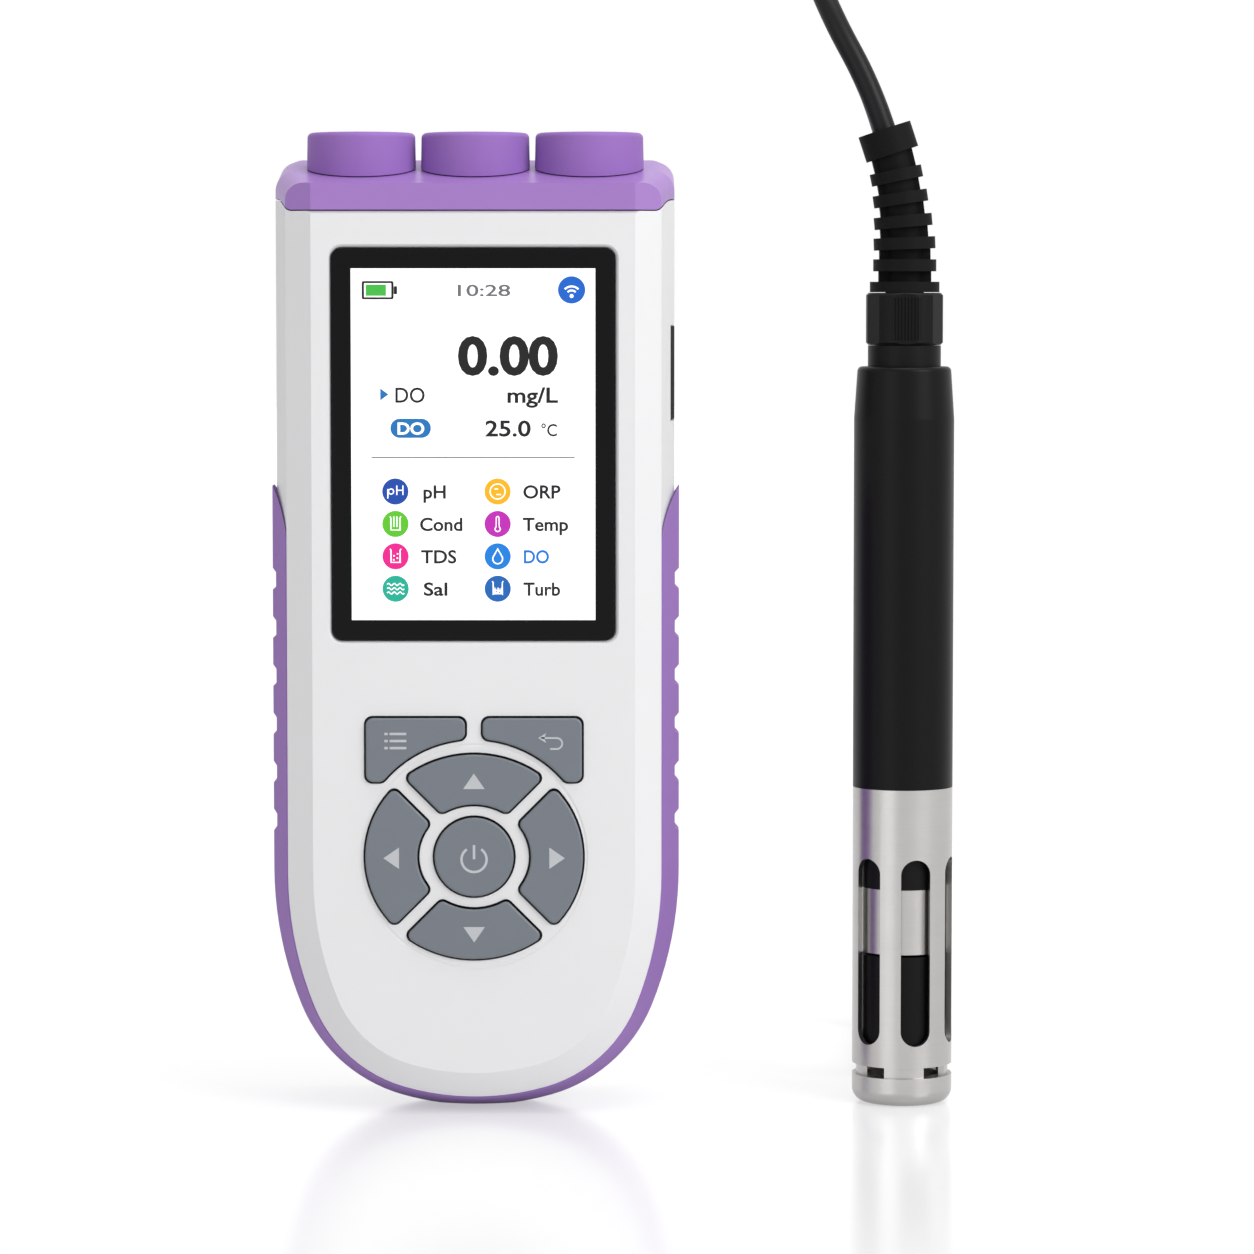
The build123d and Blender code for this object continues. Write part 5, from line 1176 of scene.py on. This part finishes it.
                upper = Pen.stroke([(x - 0.6, z + 0.5), (x + 0.1, z + 0.5)], line)
                lower = Pen.stroke([(x - 0.25, z - 0.6), (x + 0.7, z - 0.6)], line)
                return [Pen.disc(x, z, 1.6), Pen.disc(x, z, 1.38), upper, lower]
            case Quantity.TEMP:
                stem = Pen.arc(x, z - 1.0, 0.62, -232, 52, 18) + Pen.arc(x, z + 1.2, 0.38, 0, 180, 8)
                bore = Pen.arc(x, z - 1.0, 0.4, -238, 58, 18) + Pen.arc(x, z + 1.2, 0.18, 0, 180, 8)
                return [stem, bore]
            case Quantity.DO:
                return [drop, inner]
            case _:
                ripple = [(x - 0.75 + 0.15 * step, z + 0.1 * math.sin(step * 1.4)) for step in range(11)]
                grains = [Pen.disc(x - 0.3, z - 0.6, 0.15), Pen.disc(x + 0.35, z - 0.75, 0.15)]
                return beaker + [Pen.stroke(ripple, line), *grains]


@dataclass
class KeyPrints:
    """The pale signs printed on the keys."""

    print_colour: Colour = tint(196, 198, 202)
    arrow_half: float = 2.15
    arrow_deep: float = 3.1
    pad_z: float = 51.7

    def build(self) -> None:
        """Print each key's sign on its face."""
        layer = Layer(KEY_FACE_Y, 0.03)
        finish = KeyInk("key_pale_print", self.print_colour, GREY).make()
        for key, outlines in self._signs().items():
            mesh = layer.shapes("print_" + key, outlines)
            place_piece("print_" + key, mesh, finish, key)

    def _signs(self) -> dict[str, list[list[Point2]]]:
        """Draw the signs.

        Returns:
            The outlines of each sign, by the key that carries it.
        """
        half, deep, mid = self.arrow_half, self.arrow_deep, self.pad_z
        rows = (73.74, 75.15, 76.56)
        listed = [Pen.box(-17.8, z - 0.25, -17.1, z + 0.25, 0.1) for z in rows]
        listed += [Pen.box(-16.75, z - 0.25, -13.4, z + 0.25, 0.1) for z in rows]
        hook = [(13.3, 75.74), (16.4, 75.74)] + Pen.arc(16.5, 74.65, 1.09, 84, -84, 14) + [(15.2, 73.56)]
        head = [(12.8, 75.74), (14.4, 76.75), (14.1, 75.95), (14.1, 75.53), (14.4, 74.73)]
        power = Pen.stroke(Pen.arc(0, 51.44, 2.5, 125, 415, 40), 0.5)
        return {
            "key_menu": listed,
            "key_back": [Pen.stroke(hook, 0.36), head],
            "key_up": [[(-half, 65.55), (half, 65.55), (0.0, 65.55 + deep)]],
            "key_down": [[(-half, 37.9), (0.0, 37.9 - deep), (half, 37.9)]],
            "key_left": [[(-18.05, mid), (-18.05 + deep, mid - half), (-18.05 + deep, mid + half)]],
            "key_right": [[(18.1, mid), (18.1 - deep, mid + half), (18.1 - deep, mid - half)]],
            "key_power": [power, Pen.stroke([(0.0, 51.5), (0.0, 54.35)], 0.52)],
        }


@dataclass
class Lead:
    """The probe's lead: one smooth line from the strain relief, wound into a hank and on to its plug."""

    diameter: float = 4.6
    turn: float = 3.33
    near: float = 35.1
    far: float = 104.1
    mid_z: float = 16.15
    fold: float = 14.94
    lane: float = -6.7
    pitch: float = 4.8
    turns: float = 2.693
    squeeze: float = 1.3
    tie_side: float = 60.0

    def behind(self, along: float, across: float, up: float) -> Point3:
        """Turn a point of the hank's own frame into the model's frame, in millimetres.

        Args:
            along: How far it lies behind the probe.
            across: How far it lies to the right of the probe's middle.
            up: Its height.

        Returns:
            The point.
        """
        turn = math.radians(self.turn)
        return (
            PROBE_X + along * math.sin(turn) + across * math.cos(turn),
            along * math.cos(turn) - across * math.sin(turn),
            up,
        )

    def _route(self) -> list[Point3]:
        """List the points of the whole line.

        Returns:
            The points, in millimetres.
        """
        route = [
            (54.404, 0.0, 196.9), (51.6, 0.0, 205.4), (43.4, 1.5, 220.3), (37.8, 15.0, 237.2),
            (38.2, 42.0, 240.5), (45.96, 62.0, 223.8), (54.96, 66.0, 208.2), (61.5, 68.5, 186.0),
            (63.2, 70.5, 150.0),
            self.behind(81.0, -4.8, 100.0), self.behind(83.0, -6.7, 59.0), self.behind(72.0, -6.7, 37.8),
            self.behind(50.4, -6.7, 29.9), self.behind(38.0, -6.7, 29.9),
        ]
        route += self._hank()
        route += [
            self.behind(103.0, 5.6, 28.8), self.behind(86.0, 5.6, 28.8),
            self.behind(70.0, 1.0, 39.7), self.behind(53.0, 1.0, 39.7),
        ]
        return route

    def _hank(self) -> list[Point3]:
        """List the points of the hank's turns, twelve to each.

        Returns:
            The points, in millimetres.
        """
        low, high = self.mid_z - self.fold * FOLD_RISE, self.mid_z + self.fold * FOLD_RISE
        ring = [(self.near, turn) for turn in (112.5, 157.5, 202.5, 247.5)]
        ring += [(52.0, None), (87.0, None)]
        ring += [(self.far, turn) for turn in (292.5, 337.5, 22.5, 67.5)]
        ring += [(87.0, None), (52.0, None)]
        points = []
        for number in range(int(self.turns * len(ring))):
            along, turn = ring[number % len(ring)]
            across = self.lane + self.pitch * number / len(ring)
            if turn is None:
                inward = self.squeeze if along > self.tie_side else 0.0
                lower_run = number % len(ring) < len(ring) // 2
                up = low + inward if lower_run else high - inward
                points.append(self.behind(along, across, up))
            else:
                angle = math.radians(turn)
                points.append(self.behind(
                    along + self.fold * math.cos(angle), across, self.mid_z + self.fold * math.sin(angle)))
        return points

    def build(self, finish: bpy.types.Material) -> bpy.types.Object:
        """Build the lead.

        Args:
            finish: Its jacket.

        Returns:
            The piece.
        """
        route = self._route()
        curve = bpy.data.curves.new("probe_lead", "CURVE")
        curve.dimensions = "3D"
        curve.resolution_u = 12
        curve.bevel_depth = self.diameter * MM / 2
        curve.bevel_resolution = 8
        curve.use_fill_caps = True
        spline = curve.splines.new("NURBS")
        spline.points.add(len(route) - 1)
        for place, point in zip(spline.points, route):
            place.co = (point[0] * MM, point[1] * MM, point[2] * MM, 1.0)
        spline.order_u = 3
        spline.use_endpoint_u = True
        curve.materials.append(finish)
        piece = bpy.data.objects.new("probe_lead", curve)
        bpy.context.scene.collection.objects.link(piece)
        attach(piece, "probe")
        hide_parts("cord_tube", "cord_hank", "cord_tail")
        tuple(part * MM for part in route[0])
        log.info("probe_lead: %d route points", len(route))
        return piece


@dataclass(frozen=True)
class SoftBox:
    """One square soft light: where it stands, the length of its side and its watts."""

    name: str
    spot: Point3
    size: float
    watts: float


SOFT_BOXES = (
    SoftBox("key_light", (1.05, -0.95, 0.8), size=0.8, watts=12.5),
    SoftBox("fill_light", (-0.9, -1.3, 0.35), size=0.9, watts=3.0),
    SoftBox("top_light", (0.15, -0.1, 1.3), size=0.8, watts=7.0),
)


@dataclass
class Studio:
    """Pale floor, soft lights and the camera of the photograph."""

    eye: Point3 = (0.0027, -0.970, 0.164)
    target: Point3 = (0.0027, 0.0, 0.0966)
    aim: Point3 = (0.0, 0.0, 0.1)
    lens: float = 137.9
    floor_half: float = 6.0
    floor_glow: float = 0.46
    sky: float = 0.4

    def build(self) -> None:
        """Build the studio."""
        self._camera()
        self._floor()
        self._world()
        for box in SOFT_BOXES:
            self._lamp(box)

    def _camera(self) -> None:
        """Place the camera."""
        data = bpy.data.cameras.new("camera")
        data.lens = self.lens
        data.sensor_width = 36.0
        data.clip_start = 0.01
        camera = bpy.data.objects.new("camera", data)
        bpy.context.scene.collection.objects.link(camera)
        camera.location = self.eye
        aim = Vector(self.target) - Vector(self.eye)
        camera.rotation_euler = aim.to_track_quat("-Z", "Y").to_euler()
        bpy.context.scene.camera = camera

    def _lamp(self, box: SoftBox) -> None:
        """Place one soft box, turned to the middle of the object.

        Args:
            box: The soft box.
        """
        data = bpy.data.lights.new(box.name, "AREA")
        data.shape = "SQUARE"
        data.size = box.size
        data.energy = box.watts
        lamp = bpy.data.objects.new(box.name, data)
        bpy.context.scene.collection.objects.link(lamp)
        lamp.location = box.spot
        aim = Vector(self.aim) - Vector(box.spot)
        lamp.rotation_euler = aim.to_track_quat("-Z", "Y").to_euler()

    def _floor(self) -> None:
        """Lay the floor, white to the camera but keeping the shadows."""
        half = self.floor_half
        mesh = bpy.data.meshes.new("studio_floor")
        corners = [(-half, -half, 0.0), (half, -half, 0.0), (half, half, 0.0), (-half, half, 0.0)]
        mesh.from_pydata(corners, [], [(0, 1, 2, 3)])
        bench = Bench("studio_floor")
        seen = bench.add("ShaderNodeLightPath", output="Is Camera Ray")
        seen = seen.most(bench.add("ShaderNodeLightPath", output="Is Glossy Ray"))
        seen = seen.most(bench.add("ShaderNodeLightPath", output="Is Transmission Ray"))
        bench.finish({
            "Base Color": bench.mix(seen, (0.84, 0.84, 0.845, 1.0), (0.42, 0.42, 0.42, 1.0)),
            "Roughness": 0.2,
            "Specular IOR Level": 0.3,
            "Emission Color": bench.mix(seen, (0.0, 0.0, 0.0, 1.0), (1.0, 1.0, 1.0, 1.0)),
            "Emission Strength": self.floor_glow,
        })
        mesh.materials.append(bench.material)
        floor = bpy.data.objects.new("studio_floor", mesh)
        bpy.context.scene.collection.objects.link(floor)

    def _world(self) -> None:
        """Set the room: white where it is seen or mirrored, softer where it lights."""
        world = bpy.data.worlds.new("studio_room")
        world.use_nodes = True
        tree = world.node_tree
        tree.nodes.clear()
        path = tree.nodes.new("ShaderNodeLightPath")
        seen = Wire(tree, path.outputs["Is Camera Ray"]).most(Wire(tree, path.outputs["Is Glossy Ray"]))
        seen = seen.most(Wire(tree, path.outputs["Is Transmission Ray"]))
        room = tree.nodes.new("ShaderNodeBackground")
        room.inputs["Color"].default_value = (1.0, 1.0, 1.0, 1.0)
        tree.links.new((self.sky + (1 - self.sky) * seen).socket, room.inputs["Strength"])
        out = tree.nodes.new("ShaderNodeOutputWorld")
        tree.links.new(room.outputs[0], out.inputs["Surface"])
        bpy.context.scene.world = world


def main() -> None:
    """Build the scene piece by piece."""
    logging.basicConfig(level=logging.INFO, format="%(name)s %(message)s")
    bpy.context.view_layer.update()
    bpy.context.scene.view_settings.view_transform = "Standard"
    Studio().build()
    finishes = Finishes()
    log.info("dressed %d nodes", finishes.dress())
    Lead().build(finishes.made["cord_jacket"])
    Screen().build()
    KeyPrints().build()


if __name__ == "__main__":
    main()
